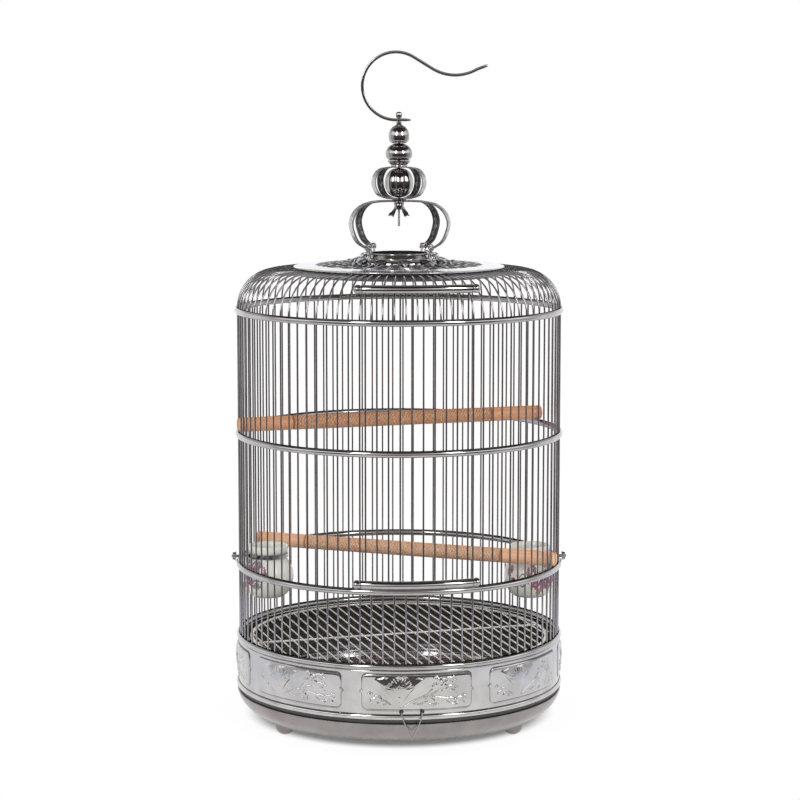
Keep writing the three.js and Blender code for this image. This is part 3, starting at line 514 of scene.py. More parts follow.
class Signal:
    """A number that varies over a surface, read from one node socket.

    Attributes:
        graph: Node tree that the socket is in.
        socket: The socket.
    """

    def __init__(self, graph: "Graph", socket: bpy.types.NodeSocket) -> None:
        """Wraps a socket of a graph."""
        self.graph, self.socket = graph, socket

    def maths(self, operation: str, *values: "Signal | float") -> "Signal":
        """Result of a Math node on some values."""
        return self.graph.signal("ShaderNodeMath", {"operation": operation}, dict(enumerate(values)))

    def __add__(self, other: "Signal | float") -> "Signal":
        """Sum."""
        return self.maths("ADD", self, other)

    def __radd__(self, other: float) -> "Signal":
        """Sum with a plain number in front."""
        return self.maths("ADD", other, self)

    def __sub__(self, other: "Signal | float") -> "Signal":
        """Difference."""
        return self.maths("SUBTRACT", self, other)

    def __rsub__(self, other: float) -> "Signal":
        """Difference from a plain number."""
        return self.maths("SUBTRACT", other, self)

    def __mul__(self, other: "Signal | float") -> "Signal":
        """Product."""
        return self.maths("MULTIPLY", self, other)

    def __rmul__(self, other: float) -> "Signal":
        """Product with a plain number in front."""
        return self.maths("MULTIPLY", other, self)

    def __truediv__(self, other: "Signal | float") -> "Signal":
        """Quotient."""
        return self.maths("DIVIDE", self, other)

    def __abs__(self) -> "Signal":
        """Size without the sign."""
        return self.maths("ABSOLUTE", self)

    def __lt__(self, other: "Signal | float") -> "Signal":
        """1 where it is less, 0 elsewhere."""
        return self.maths("LESS_THAN", self, other)

    def sine(self) -> "Signal":
        """Sine of it in radians."""
        return self.maths("SINE", self)

    def cosine(self) -> "Signal":
        """Cosine of it in radians."""
        return self.maths("COSINE", self)

    def root(self) -> "Signal":
        """Square root."""
        return self.maths("SQRT", self)

    def angle_to(self, other: "Signal") -> "Signal":
        """Angle whose tangent is this over the other, in radians."""
        return self.maths("ARCTAN2", self, other)

    def lowest(self, other: "Signal | float") -> "Signal":
        """The lower of the two."""
        return self.maths("MINIMUM", self, other)

    def highest(self, other: "Signal | float") -> "Signal":
        """The higher of the two."""
        return self.maths("MAXIMUM", self, other)

    def ramp(self, start: float, end: float, low: float = 0, high: float = 1) -> "Signal":
        """Smooth change from low at start to high at end."""
        values = {0: self, 1: start, 2: end, 3: low, 4: high}
        return self.graph.signal("ShaderNodeMapRange", {"interpolation_type": "SMOOTHSTEP"}, values)


Value = Signal | float
Tint = Signal | Colour


class Graph:
    """The node tree of a material or of the world.

    Attributes:
        tree: Blender's node tree.
    """

    def __init__(self, tree: bpy.types.NodeTree) -> None:
        """Empties the tree and wraps it."""
        tree.nodes.clear()
        self.tree = tree

    def node(self, kind: str, settings: dict[str, object] | None = None,
             inputs: dict[str | int, object] | None = None) -> bpy.types.Node:
        """Adds a node, sets it up and joins its inputs.

        Args:
            kind: Blender's name of the node type.
            settings: Properties of the node, set first. "stops" gives a ramp's stops.
            inputs: Value or link of each socket, by name or number.

        Returns:
            The new node.
        """
        made = self.tree.nodes.new(kind)
        for name, value in (settings or {}).items():
            if name == "stops":
                elements = made.color_ramp.elements
                while len(elements) < len(value):
                    elements.new(0.5)
                for element, (place, tint) in zip(elements, value):
                    element.position, element.color = place, (*tint, 1)
            else:
                setattr(made, name, value)
        for key, value in (inputs or {}).items():
            target = made.inputs[key]
            value = value.socket if isinstance(value, Signal) else value
            if isinstance(value, bpy.types.NodeSocket):
                self.tree.links.new(value, target)
            else:
                wide = isinstance(value, tuple) and target.type == "RGBA" and len(value) == 3
                target.default_value = (*value, 1) if wide else value
        return made

    def signal(self, kind: str, settings: dict[str, object] | None = None,
               inputs: dict[str | int, object] | None = None, output: int | str = 0) -> Signal:
        """Adds a node and gives one of its outputs."""
        return Signal(self, self.node(kind, settings, inputs).outputs[output])

    def mix(self, share: Value, first: Tint, second: Tint, blend: str = "MIX") -> Signal:
        """Mixes two colours.

        Args:
            share: Share of the second colour.
            first: Colour at 0.
            second: Colour at 1.
            blend: How they are blended.

        Returns:
            The mixed colour.
        """
        settings = {"data_type": "RGBA", "blend_type": blend, "clamp_factor": True}
        return self.signal("ShaderNodeMix", settings, {0: share, 6: first, 7: second}, 2)

    def place(self, kind: str = "Object", scale: float = MM) -> tuple[Signal, ...]:
        """Coordinates as three numbers, the piece's own in millimetres unless others are asked for."""
        coordinates = self.node("ShaderNodeTexCoord").outputs[kind]
        scaled = self.node("ShaderNodeVectorMath", {"operation": "SCALE"},
                           {0: coordinates, "Scale": scale})
        split = self.node("ShaderNodeSeparateXYZ", {}, {0: scaled.outputs[0]})
        return tuple(Signal(self, output) for output in split.outputs)

    def vector(self, x: Value, y: Value, z: Value) -> Signal:
        """Joins three numbers."""
        return self.signal("ShaderNodeCombineXYZ", {}, {0: x, 1: y, 2: z})

    def noise(self, place: Signal, scale: float, detail: float = 2, roughness: float = 0.5) -> Signal:
        """Cloudy noise from 0 to 1.

        Args:
            place: Coordinates to read it at.
            scale: Waves for each unit of the coordinates.
            detail: How many finer layers are added.
            roughness: How strong the finer layers are.

        Returns:
            The noise.
        """
        values = {"Vector": place, "Scale": scale, "Detail": detail, "Roughness": roughness}
        return self.signal("ShaderNodeTexNoise", {}, values)

    def bump(self, height: Signal, distance: float) -> Signal:
        """Surface direction under small heights, given in millimetres."""
        return self.signal("ShaderNodeBump", {}, {"Height": height, "Distance": distance / MM}, "Normal")

    def rays(self, *kinds: str) -> Signal:
        """1 for rays of these kinds, such as "Camera", and 0 for all others."""
        seen = self.node("ShaderNodeLightPath")
        first, *others = (Signal(self, seen.outputs[f"Is {kind} Ray"]) for kind in kinds)
        return sum(others, first).lowest(1)


def material(name: str) -> tuple[bpy.types.Material, Graph, Callable[[dict[str, object]], None]]:
    """Starts a material.

    Args:
        name: Name of the finish.

    Returns:
        The material, its graph, and a function that sets the surface's sockets.
    """
    made = bpy.data.materials.new(name)
    made.use_nodes = True
    graph = Graph(made.node_tree)

    def surface(inputs: dict[str, object]) -> None:
        """Adds the surface's shader with these sockets and joins it to the output."""
        shader = graph.node("ShaderNodeBsdfPrincipled", {}, inputs)
        graph.node("ShaderNodeOutputMaterial", {}, {"Surface": shader.outputs[0]})

    return made, graph, surface


class Grain(Enum):
    """Which way a metal's fine polishing lines run."""

    AROUND = "around"
    ALONG = "along"
    EVEN = "even"


@dataclass(frozen=True)
class Steel:
    """A bare metal finish.

    Attributes:
        name: Name of the finish.
        colour: Colour of the metal.
        roughness: Mean roughness.
        spread: How much the roughness varies.
        grain: Which way the fine lines run.
        lines: How deep the fine lines are, in millimetres.
        recess_and_shade: Colour of the recesses of raised work and of painted shade, or None where there
            is none.
        metal: Share of bare metal; the rest is a dull plating.
        grime: How much rougher the recesses are.
        shade: Colour of the darker clouds, as a share of the metal's.
        cloud_scale: Clouds for each millimetre.
        smudge_scale: Smudges for each millimetre.
        recess_metal: Share of bare metal that is left in the recesses.
    """

    name: str
    colour: Colour
    roughness: float
    spread: float
    grain: Grain
    lines: float
    recess_and_shade: Colour | None = None
    metal: float = 1.0
    grime: float = 0.18
    shade: Colour = (0.82, 0.82, 0.82 * 1.02)
    cloud_scale: float = 0.045
    smudge_scale: float = 0.21
    recess_metal: float = 0.25

    def make(self) -> bpy.types.Material:
        """Builds the material."""
        made, graph, surface = material(self.name)
        x, y, z = graph.place()
        spot = graph.vector(x, y, z)
        if self.grain is Grain.AROUND:
            radius = (x * x + y * y).root()
            lined = graph.vector(x.angle_to(-1.0 * y) * 2.2, radius * 2.4, z * 2.4)
        elif self.grain is Grain.ALONG:
            lined = graph.vector(x * 2.0, y * 2.0, z * 0.08)
        else:
            lined = graph.vector(x * 1.1, y * 1.1, z * 1.1)
        fine = graph.noise(lined, 1.0, 3, 0.6)
        clouds = graph.noise(spot, self.cloud_scale, 3, 0.55)
        smudge = graph.noise(spot, self.smudge_scale)
        dark = tuple(part * share for part, share in zip(self.colour, self.shade))
        tint = graph.mix(clouds.ramp(0.3, 0.7), dark, self.colour)
        rough = self.roughness + (smudge - 0.5) * self.spread + (fine - 0.5) * self.spread
        bare: Value = self.metal
        if self.recess_and_shade is not None:
            # A low raised share mixes in the dark recess colour. It is the fill of engraved recesses,
            # and it is painted shade where a piece sets it low for creases, undersides and hollows in
            # shade.
            raised = graph.signal("ShaderNodeAttribute", {"attribute_name": "raised"}, {}, "Fac")
            raised_and_lit_share = (raised + (smudge - 0.5) * 0.25).ramp(0.08, 0.6)
            tint = graph.mix(raised_and_lit_share, self.recess_and_shade, tint)
            rough = rough + (1 - raised_and_lit_share) * self.grime
            bare = (self.recess_metal + raised_and_lit_share * (1 - self.recess_metal)) * self.metal
        surface({
            "Base Color": tint,
            "Metallic": bare,
            "Roughness": rough.highest(0.03),
            "Normal": graph.bump(fine + smudge * 0.6, self.lines),
        })
        return made


@dataclass(frozen=True)
class TurnedWood:
    """Waxed wood with smooth turned ends and a carved middle.

    Attributes:
        name: Name of the finish.
        start: One end of the perch's axis, in millimetres.
        end: The other end.
        smooth: Length of the smooth ends, up to a groove.
        inset: Place of the fine groove near each end.
        tone: Tint over it all, white for new wood.
        light: Colour of the pale grain.
        deep: Colour of the dark grain.
        blotch_and_groove_shade: Colour of the random blotches, and of the painted shade in the carving's
            cuts and the turned grooves.
        pale: Colour of its scales, a painted highlight on the carving's raised parts.
    """

    name: str
    start: Triple
    end: Triple
    smooth: float
    inset: float
    tone: Colour
    light: Colour = (0.9, 0.55, 0.34)
    deep: Colour = (0.8, 0.42, 0.23)
    blotch_and_groove_shade: Colour = (0.5, 0.2, 0.1)
    pale: Colour = (0.94, 0.68, 0.48)

    def make(self) -> bpy.types.Material:
        """Builds the material."""
        made, graph, surface = material(self.name)
        x, y, z = graph.place()
        start, end = np.array(self.start), np.array(self.end)
        length = float(np.linalg.norm(end - start))
        axis = (end - start) / length
        along = (x - start[0]) * axis[0] + (y - start[1]) * axis[1] + (z - start[2]) * axis[2]
        across = (x - start[0]) * axis[1] - (y - start[1]) * axis[0]
        up = z - start[2]
        girth = across.angle_to(up)
        fibres = graph.noise(graph.vector(along * 0.035, across * 1.1, up * 1.1), 1.0, 4, 0.6)
        pores = graph.noise(graph.vector(along * 0.16, across * 3.2, up * 3.2), 1.0)
        blotch = graph.noise(graph.vector(x, y, z), 0.035)
        tint = graph.mix(fibres.ramp(0.32, 0.7), self.deep, self.light)
        tint = graph.mix(blotch.ramp(0.35, 0.75, 0, 0.22), tint, self.blotch_and_groove_shade)
        ends = (self.smooth, self.smooth + 1)
        carved = along.ramp(*ends) * (length - along).ramp(*ends)
        wander = graph.noise(graph.vector(along * 0.3, girth * 2.6, 3.0), 1.0, 3, 0.65)
        drift = wander * 7
        first = (along * 1.1 + girth * 5 + drift).sine()
        second = (along * 0.9 - girth * 4 + drift).sine()
        scale = (abs(first) * 0.6 + abs(second) * 0.4).ramp(0.2, 0.85) * (0.4 + wander * 1.2)
        cut = carved * (1 - scale).highest(0)
        inwards = along.lowest(length - along)
        groove = (abs(inwards - self.smooth).ramp(1.3, 0.4)
                  + abs(inwards - self.inset).ramp(1.1, 0.3) * 0.6)
        # Raised scales are paler, a painted highlight. Cuts and grooves take the dark colour, painted
        # shade.
        tint = graph.mix(carved * scale * 0.6, tint, self.pale)
        tint = graph.mix((cut * 0.6 + groove * 0.75).lowest(1), tint, self.blotch_and_groove_shade)
        surface({
            "Base Color": graph.mix(1.0, tint, self.tone, "MULTIPLY"),
            "Roughness": (0.47 + cut * 0.2 + (pores - 0.5) * 0.15).lowest(0.9),
            "Normal": graph.bump(scale * carved + fibres * 0.25 + pores * 0.12 - groove, 0.9),
            "Coat Weight": (1 - carved) * 0.12,
        })
        return made


@dataclass(frozen=True)
class Bloom:
    """A painted flower on a cup.

    Attributes:
        angle: Place round the cup, in degrees from the cage's front.
        height: Height above the floor, in millimetres.
        radius: Radius of its petals.
        tint: Colour of the petals.
        petals: Number of petals.
    """

    angle: float
    height: float
    radius: float
    tint: Colour
    petals: int = 5


Stroke = tuple[float, float, float, float, float]
Spray = tuple[float, float, float, float]


@dataclass(frozen=True)
class Painting:
    """What is painted on one cup, with angles in degrees and the rest in millimetres.

    Attributes:
        blooms: Flowers.
        strokes: Brush strokes as angle, height, half length, swing and width.
        sprays: Clusters of florets as angle, height, and half width and height.
    """

    blooms: tuple[Bloom, ...]
    strokes: tuple[Stroke, ...]
    sprays: tuple[Spray, ...]


@dataclass(frozen=True)
class Porcelain:
    """Glazed porcelain with painted flowers and brush strokes.

    Attributes:
        name: Name of the finish.
        centre: Axis of the cup, in millimetres.
        belly: Radius at which the painting's scale is true.
        painting: What is painted on it.
        glaze: Colour of the glaze.
        shade: Colour where the glaze pools.
        heart: Colour of the flowers' hearts.
        ink: Colour of the strokes.
        plum: Colour of the darker florets.
        berry: Colour of the redder florets.
    """

    name: str
    centre: Pair
    belly: float
    painting: Painting
    glaze: Colour = (0.8, 0.815, 0.765)
    shade: Colour = (0.6, 0.63, 0.57)
    heart: Colour = (0.5, 0.28, 0.3)
    ink: Colour = (0.045, 0.03, 0.05)
    plum: Colour = (0.2, 0.06, 0.15)
    berry: Colour = (0.36, 0.05, 0.16)

    def make(self) -> bpy.types.Material:
        """Builds the material."""
        made, graph, surface = material(self.name)
        x, y, z = graph.place()
        spot = graph.vector(x, y, z)
        turn = (x - self.centre[0]).angle_to(-1.0 * (y - self.centre[1]))
        body = graph.noise(spot, 0.07, 3)
        speck = graph.noise(spot, 0.9)
        wobble = (graph.noise(spot, 0.35) - 0.5) * 1.6
        tint = graph.mix(body.ramp(0.3, 0.75, 0, 0.6), self.glaze, self.shade)
        florets = {"Vector": graph.vector(turn * self.belly + wobble, z, 0.0), "Scale": 0.3,
                   "Randomness": 0.8}
        cell = graph.node("ShaderNodeTexVoronoi", {"voronoi_dimensions": "2D"}, florets)
        out = Signal(graph, cell.outputs["Distance"])
        hue = graph.signal("ShaderNodeSeparateColor", {}, {0: cell.outputs["Color"]})
        petals = graph.mix(hue.ramp(0.35, 0.65), self.plum, self.berry)
        petals = graph.mix(out.ramp(0.2, 0.1), petals, self.heart)
        petals = graph.mix(out.ramp(0.3, 0.42), petals, self.ink)
        for angle, height, wide, tall in self.painting.sprays:
            dx, dy = self.aside(turn, angle) / wide, (z - height) / tall
            inside = (dx * dx + dy * dy).root() + (body - 0.5) * 0.6
            tint = graph.mix(inside.ramp(1.0, 0.85) * out.ramp(0.6, 0.5) * 0.9, tint, petals)
        for bloom in self.painting.blooms:
            dx, dy = self.aside(turn, bloom.angle) + wobble, z - bloom.height + wobble
            far = (dx * dx + dy * dy).root()
            lobes = (dy.angle_to(dx) * bloom.petals).cosine()
            edge = far / (bloom.radius * (0.74 + 0.26 * lobes))
            vein = edge.ramp(0.35, 0.95, 0.45, 0) + (lobes * -1.0).ramp(0.2, 1.0, 0, 0.5)
            deep = tuple(part * 0.35 for part in bloom.tint)
            tint = graph.mix(edge.ramp(1.08, 0.9), tint, graph.mix(vein, bloom.tint, deep))
            tint = graph.mix((far / bloom.radius).ramp(0.26, 0.16), tint, self.heart)
        for angle, height, half, swing, width in self.painting.strokes:
            dx = self.aside(turn, angle)
            dy = z - height - (dx * (math.pi / half)).sine() * swing
            mark = (1 - abs(dy) / width).ramp(0, 0.35) * (abs(dx) < half)
            tint = graph.mix(mark * 0.85, tint, self.ink)
        surface({
            "Base Color": tint,
            "Roughness": 0.13 + speck * 0.07,
            "Normal": graph.bump(body * 0.8 + speck * 0.1, 0.12),
            "Coat Weight": 0.4,
            "Coat Roughness": 0.06,
        })
        return made

    def aside(self, turn: Signal, angle: float) -> Signal:
        """Distance round the belly from an angle in degrees."""
        return (turn - math.radians(angle)) * self.belly


class Finishes:
    """All the bare metal finishes of the cage, each made once.

    Attributes:
        chrome: Polished hoops, grips and caps.
        bright: The embossed band and the scrolls of the crown's brackets.
        satin: Outside of the tray, and the heads of its screws.
        foot: Ball feet, a warmer, darker copy of the steel as painted shade under the tray.
        pan: Inside of the tray, with its lighter wall as painted sheen and its floor in the dark recess
            colour as painted shade.
        wire: Drawn wire of the wall, doors and clips, and the spindle.
        pale_wire: Pale, partly dull wire of the grate, its cream colour painted sheen.
        engraved: Straps with dark recesses, and painted shade on their backs.
        lid: Bright border of the lid.
        scroll: Scrolls of the lid, a darker copy of its steel as painted shade, and near black where
            pieces paint deeper shade.
        dark: Dark polish of the collar, the finial, the hook and the cups' holders.
    """

    def __init__(self) -> None:
        """Makes the steels."""
        self.chrome = Steel("polished_chrome", (0.5, 0.485, 0.48), 0.08, 0.05, Grain.AROUND,
                            0.003).make()
        self.bright = Steel("embossed_chrome", (0.61, 0.6, 0.59), 0.1, 0.03, Grain.AROUND, 0.0008,
                            (0.055, 0.052, 0.054)).make()
        self.satin = Steel("satin_steel_sheet", (0.33, 0.305, 0.305), 0.25, 0.03, Grain.AROUND, 0.0008,
                           (0.06, 0.057, 0.057)).make()
        # The feet's darker, warmer colour is painted shade under the tray.
        self.foot = Steel("turned_foot", (0.27, 0.24, 0.235), 0.08, 0.03, Grain.AROUND, 0.001).make()
        self.pan = Steel("pressed_pan", (0.62, 0.62, 0.64), 0.13, 0.05, Grain.EVEN, 0.004,
                         (0.13, 0.11, 0.1)).make()
        self.wire = Steel("drawn_wire", (0.41, 0.395, 0.4), 0.09, 0.03, Grain.ALONG, 0.0003).make()
        # The grate's cream colour and dull share are painted sheen.
        self.pale_wire = Steel("bright_wire", (0.94, 0.9, 0.82), 0.25, 0.06, Grain.EVEN, 0.002,
                               metal=0.45).make()
        self.engraved = Steel("engraved_strap", (0.62, 0.61, 0.61), 0.2, 0.12, Grain.EVEN, 0.02,
                              (0.03, 0.028, 0.03)).make()
        self.lid = Steel("bright_lid", (0.8, 0.795, 0.8), 0.12, 0.06, Grain.AROUND, 0.004).make()
        # The scrolls' darker colour is painted shade, and the recess colour paints the near-black shade
        # under the lid.
        self.scroll = Steel("scroll_steel_painted_shade", (0.4, 0.392, 0.405), 0.14, 0.08, Grain.EVEN, 0.004,
                            (0.012, 0.011, 0.013), grime=0.5).make()
        self.dark = Steel("dark_chrome", (0.46, 0.44, 0.435), 0.08, 0.06, Grain.AROUND, 0.003).make()


@dataclass
class Fitting:
    """A sub-assembly of the cage.

    Attributes:
        finishes: Finishes of the cage.
    """

    finishes: Finishes


# --------------------------------------------------------------------------- wall


def wire(form: Form, path: np.ndarray, number: float, finish: int = 0) -> None:
    """Adds a round wire along a path in the plane of its number."""
    form.sweep(path, ring(WIRE_RADIUS, WIRE_SIDES), sideways(number * PITCH), finish=finish)


def upright(form: Form, number: float, foot: float, top: float, finish: int = 0) -> None:
    """Adds a straight wire on the wire circle, from one height to another."""
    wire(form, np.array([around(number * PITCH, WIRE_CIRCLE, h) for h in (foot, top)]), number, finish)


@dataclass
class Wall(Fitting):
    """The hoops and the wires between them.

    Attributes:
        rise: How far above the upper hoop the wires start to bend.
        bend: Radius of that bend.
        turn: Angle of that bend, in degrees.
        ring_radius: Outer radius of the top ring.
        ring_width: Width of the top ring.
        ring_half: Half of its thickness.
        end_inset: How far inside that ring the wires end.
        foot_gap: How far above a panel's foot its wires start.
        head_gap: How far below the front panel's top its wires end.
        foot_bar: Width and thickness of the strips that join the wires of a panel.
        foot_past: How far a strip reaches past its last wires.
        plug: Width, depth and height of the pieces that fill a hoop's slot between two panels.
        hoop_sides: Facets round a hoop.
    """

    rise: float = 2.6
    bend: float = 38.6
    turn: float = 88
    ring_radius: float = 108.2
    ring_width: float = 4.2
    ring_half: float = 1.2
    end_inset: float = 1.2
    foot_gap: float = 0.4
    head_gap: float = 0.6
    foot_bar: Pair = (2.2, 2.0)
    foot_past: float = 1.4
    plug: Triple = (3, 4.6, 4)
    hoop_sides: int = 138

    def hoop_level(self, name: str) -> float:
        """Height of a hoop's middle."""
        return mid_height(name)

    def panel_starts(self) -> list[int]:
        """Wire number at which each panel starts, and the one after the last."""
        total = WIRES + 1 - 2 * DOORWAY
        return [DOORWAY + math.floor(i * total / PANELS + 0.5) for i in range(PANELS + 1)]

    def shoulder(self, number: float, foot: float, end: float) -> np.ndarray:
        """Path of a wire that bends over the shoulder.

        Args:
            number: Number of the wire, counted from the front.
            foot: Height at which it starts.
            end: Radius at which it stops.

        Returns:
            Points of its middle line.
        """
        level = self.hoop_level("upper_hoop") + self.rise
        flat = [(WIRE_CIRCLE, foot)]
        for turn in np.radians(self.turn * np.arange(11) / 10):
            flat.append((WIRE_CIRCLE - self.bend * (1 - math.cos(turn)),
                         level + self.bend * math.sin(turn)))
        last, height = flat[-1]
        flat.append((end, height + (last - end) / math.tan(math.radians(self.turn))))
        return np.array([around(number * PITCH, radius, height) for radius, height in flat])

    def strip(self, form: Form, numbers: Sequence[float], height: float) -> None:
        """Adds the foot strip that joins some wires inside a hoop.

        Args:
            form: Mesh to add to.
            numbers: Numbers of the wires.
            height: Height of the strip's middle.
        """
        past = math.degrees(self.foot_past / WIRE_CIRCLE)
        first, last = numbers[0] * PITCH - past, numbers[-1] * PITCH + past
        path = np.array([around(a, WIRE_CIRCLE, height)
                         for a in np.linspace(first, last, 2 * len(numbers))])
        form.sweep(path, bar_section(*self.foot_bar, 0.3, 1), (0, 0, 1))

    def hoop(self, name: str) -> None:
        """Builds a round hoop with the slot that its wires run in.

        Args:
            name: CAD solid of the hoop.
        """
        level = self.hoop_level(name)
        limit = math.acos(SLOT_HALF / HOOP_RADIUS)
        form = Form()
        for side in (1, -1):
            form.lathe([(WIRE_CIRCLE + side * HOOP_RADIUS * math.cos(t),
                         level + HOOP_RADIUS * math.sin(t))
                        for t in np.linspace(-limit, limit, 15)], self.hoop_sides)
        for start in self.panel_starts()[1:-1]:
            form.block((0, -WIRE_CIRCLE, level), self.plug, 0.3, (start - 0.5) * PITCH)
        finished(form, f"{name}_tube", name, Slot.POLISHED, self.finishes.chrome, sharp=50)

    def panels(self) -> None:
        """Builds the six wire panels of the wall."""
        starts = self.panel_starts()
        for i in range(PANELS):
            node = f"wire_panel_{i + 1}"
            foot = span(node)[0]
            numbers = list(range(starts[i], starts[i + 1]))
            form = Form()
            for number in numbers:
                wire(form, self.shoulder(number, foot + self.foot_gap,
                                         self.ring_radius - self.end_inset), number)
            self.strip(form, numbers, foot + self.foot_bar[0] / 2)
            finished(form, f"{node}_wires", node, Slot.WIRE, self.finishes.wire)

    def front_wires(self) -> None:
        """Builds the wires between the lower and the middle hoop above the lower door."""
        low, high = span("front_middle_wires")
        form = Form()
        for number in HALVES:
            upright(form, number, low, high - self.head_gap)
        self.strip(form, HALVES, high - self.foot_bar[0] / 2)
        finished(form, "front_middle_bars", "front_middle_wires", Slot.WIRE, self.finishes.wire)

    def top_ring(self) -> None:
        """Builds the flat ring that carries the lid, with the wires above the doorway."""
        low = span("top_ring")[0]
        level = self.shoulder(0, 0, self.ring_radius + 0.3)[-1][2]
        form = Form()
        profile = flat_ring(self.ring_radius, self.ring_width, level, self.ring_half)
        # The ring takes the scroll finish with no raised share at all, so it is near black: painted
        # shade under the lid.
        form.lathe(profile, self.hoop_sides, finish=1, depths=[0.0] * len(profile))
        for number in WHOLES:
            wire(form, self.shoulder(number, low, self.ring_radius - self.end_inset), number)
        finished(form, "top_ring_and_front_wires", "top_ring", Slot.WIRE, self.finishes.wire,
                 self.finishes.scroll)

    def build(self) -> None:
        """Builds the whole wall."""
        for name in ("base_hoop", "lower_hoop", "middle_hoop", "upper_hoop"):
            self.hoop(name)
        self.panels()
        self.front_wires()
        self.top_ring()


@dataclass
class Door(Fitting):
    """A sliding door: wires hung from a curved grip tube with a cap at each end.

    Attributes:
        name: CAD name of the door, which is also its body.
        numbers: Numbers of its wires.
        half_angle: Half of the grip's arc, in degrees.
        guides: Numbers of the fixed wires that run in grooves at the grip's back.
        radius: Radius of the grip tube.
        offset: How far in front of the wires the tube's middle lies.
        groove_half: Half of a groove's width.
        groove_lip: Width of the step at a groove's side.
        play: Room between a groove and its wire.
        sides: Facets round the tube.
        cap_radius: Radius of a cap's dome.
    """

    name: str
    numbers: Sequence[float]
    half_angle: float
    guides: Sequence[float] = ()
    radius: float = 4.3
    offset: float = 2.5
    groove_half: float = 1.5
    groove_lip: float = 0.12
    play: float = 0.5
    sides: int = 24
    cap_radius: float = 4.6

    @property
    def circle(self) -> float:
        """Radius of the grip's arc."""
        return WIRE_CIRCLE + self.offset

    @property
    def height(self) -> float:
        """Height of the grip's middle."""
        return mid_height(f"{self.name}_left_knob")

    def grip(self, form: Form) -> None:
        """Adds the grip tube, with grooves at its back for the fixed wires.

        Args:
            form: Mesh to add to.
        """
        half = math.degrees(self.groove_half / self.circle)
        lip = math.degrees(self.groove_lip / self.circle)
        marks = {angle: False for angle in np.linspace(-self.half_angle, self.half_angle, 41)}
        for guide in [number * PITCH for number in self.guides]:
            marks = {angle: cut for angle, cut in marks.items() if abs(angle - guide) >= half + lip}
            for step, cut in ((-half - lip, False), (-half, True), (half, True), (half + lip, False)):
                if abs(guide + step) < self.half_angle:
                    marks[guide + step] = cut
            for edge in (-self.half_angle, self.half_angle):
                marks[edge] = marks.get(edge, False) or abs(guide - edge) < half
        whole = ring(self.radius, self.sides)
        cut_out = whole.copy()
        cut_out[:, 1] = np.minimum(cut_out[:, 1], self.offset - WIRE_RADIUS - self.play)
        angles = sorted(marks)
        path = np.array([around(a, self.circle, self.height) for a in angles])
        form.sweep(path, np.array([cut_out if marks[a] else whole for a in angles]), (0, 0, 1))

    def cap(self, side: int, word: str) -> None:
        """Builds one end cap: a collar, a groove and a dome.

        Args:
            side: -1 for the left end, 1 for the right.
            word: Name of that side.
        """
        profile = [(0, 0), (3.6, 0), (4.2, 0.25), (4.4, 0.8), (4.2, 1.35), (3.7, 1.7), (3.7, 2.0)]
        for turn in np.radians(-35 + 125 * np.arange(9) / 8):
            profile.append((self.cap_radius * math.cos(turn), 4.9 + self.cap_radius * math.sin(turn)))
        profile[-1] = (0, profile[-1][1])
        form = Form()
        form.lathe(profile, self.sides, closed=False)
        lay = Matrix.Rotation(math.radians(side * 90), 3, "Y")
        laid = [lay @ Vector(p) + Vector((0, -self.circle, self.height)) for p in form.points[0]]
        form.points[0] = turned(laid, side * (self.half_angle + math.degrees(0.3 / self.circle)))
        finished(form, f"{self.name}_{word}_cap", f"{self.name}_{word}_knob", Slot.POLISHED,
                 self.finishes.chrome, body=self.name)

    def build(self) -> None:
        """Builds the door and its caps."""
        form = Form()
        self.grip(form)
        for number in self.numbers:
            upright(form, number, span(self.name)[0], self.height, finish=1)
        finished(form, f"{self.name}_grip_and_wires", self.name, Slot.POLISHED, self.finishes.chrome,
                 self.finishes.wire, body=self.name)
        self.cap(-1, "left")
        self.cap(1, "right")


# --------------------------------------------------------------------------- base


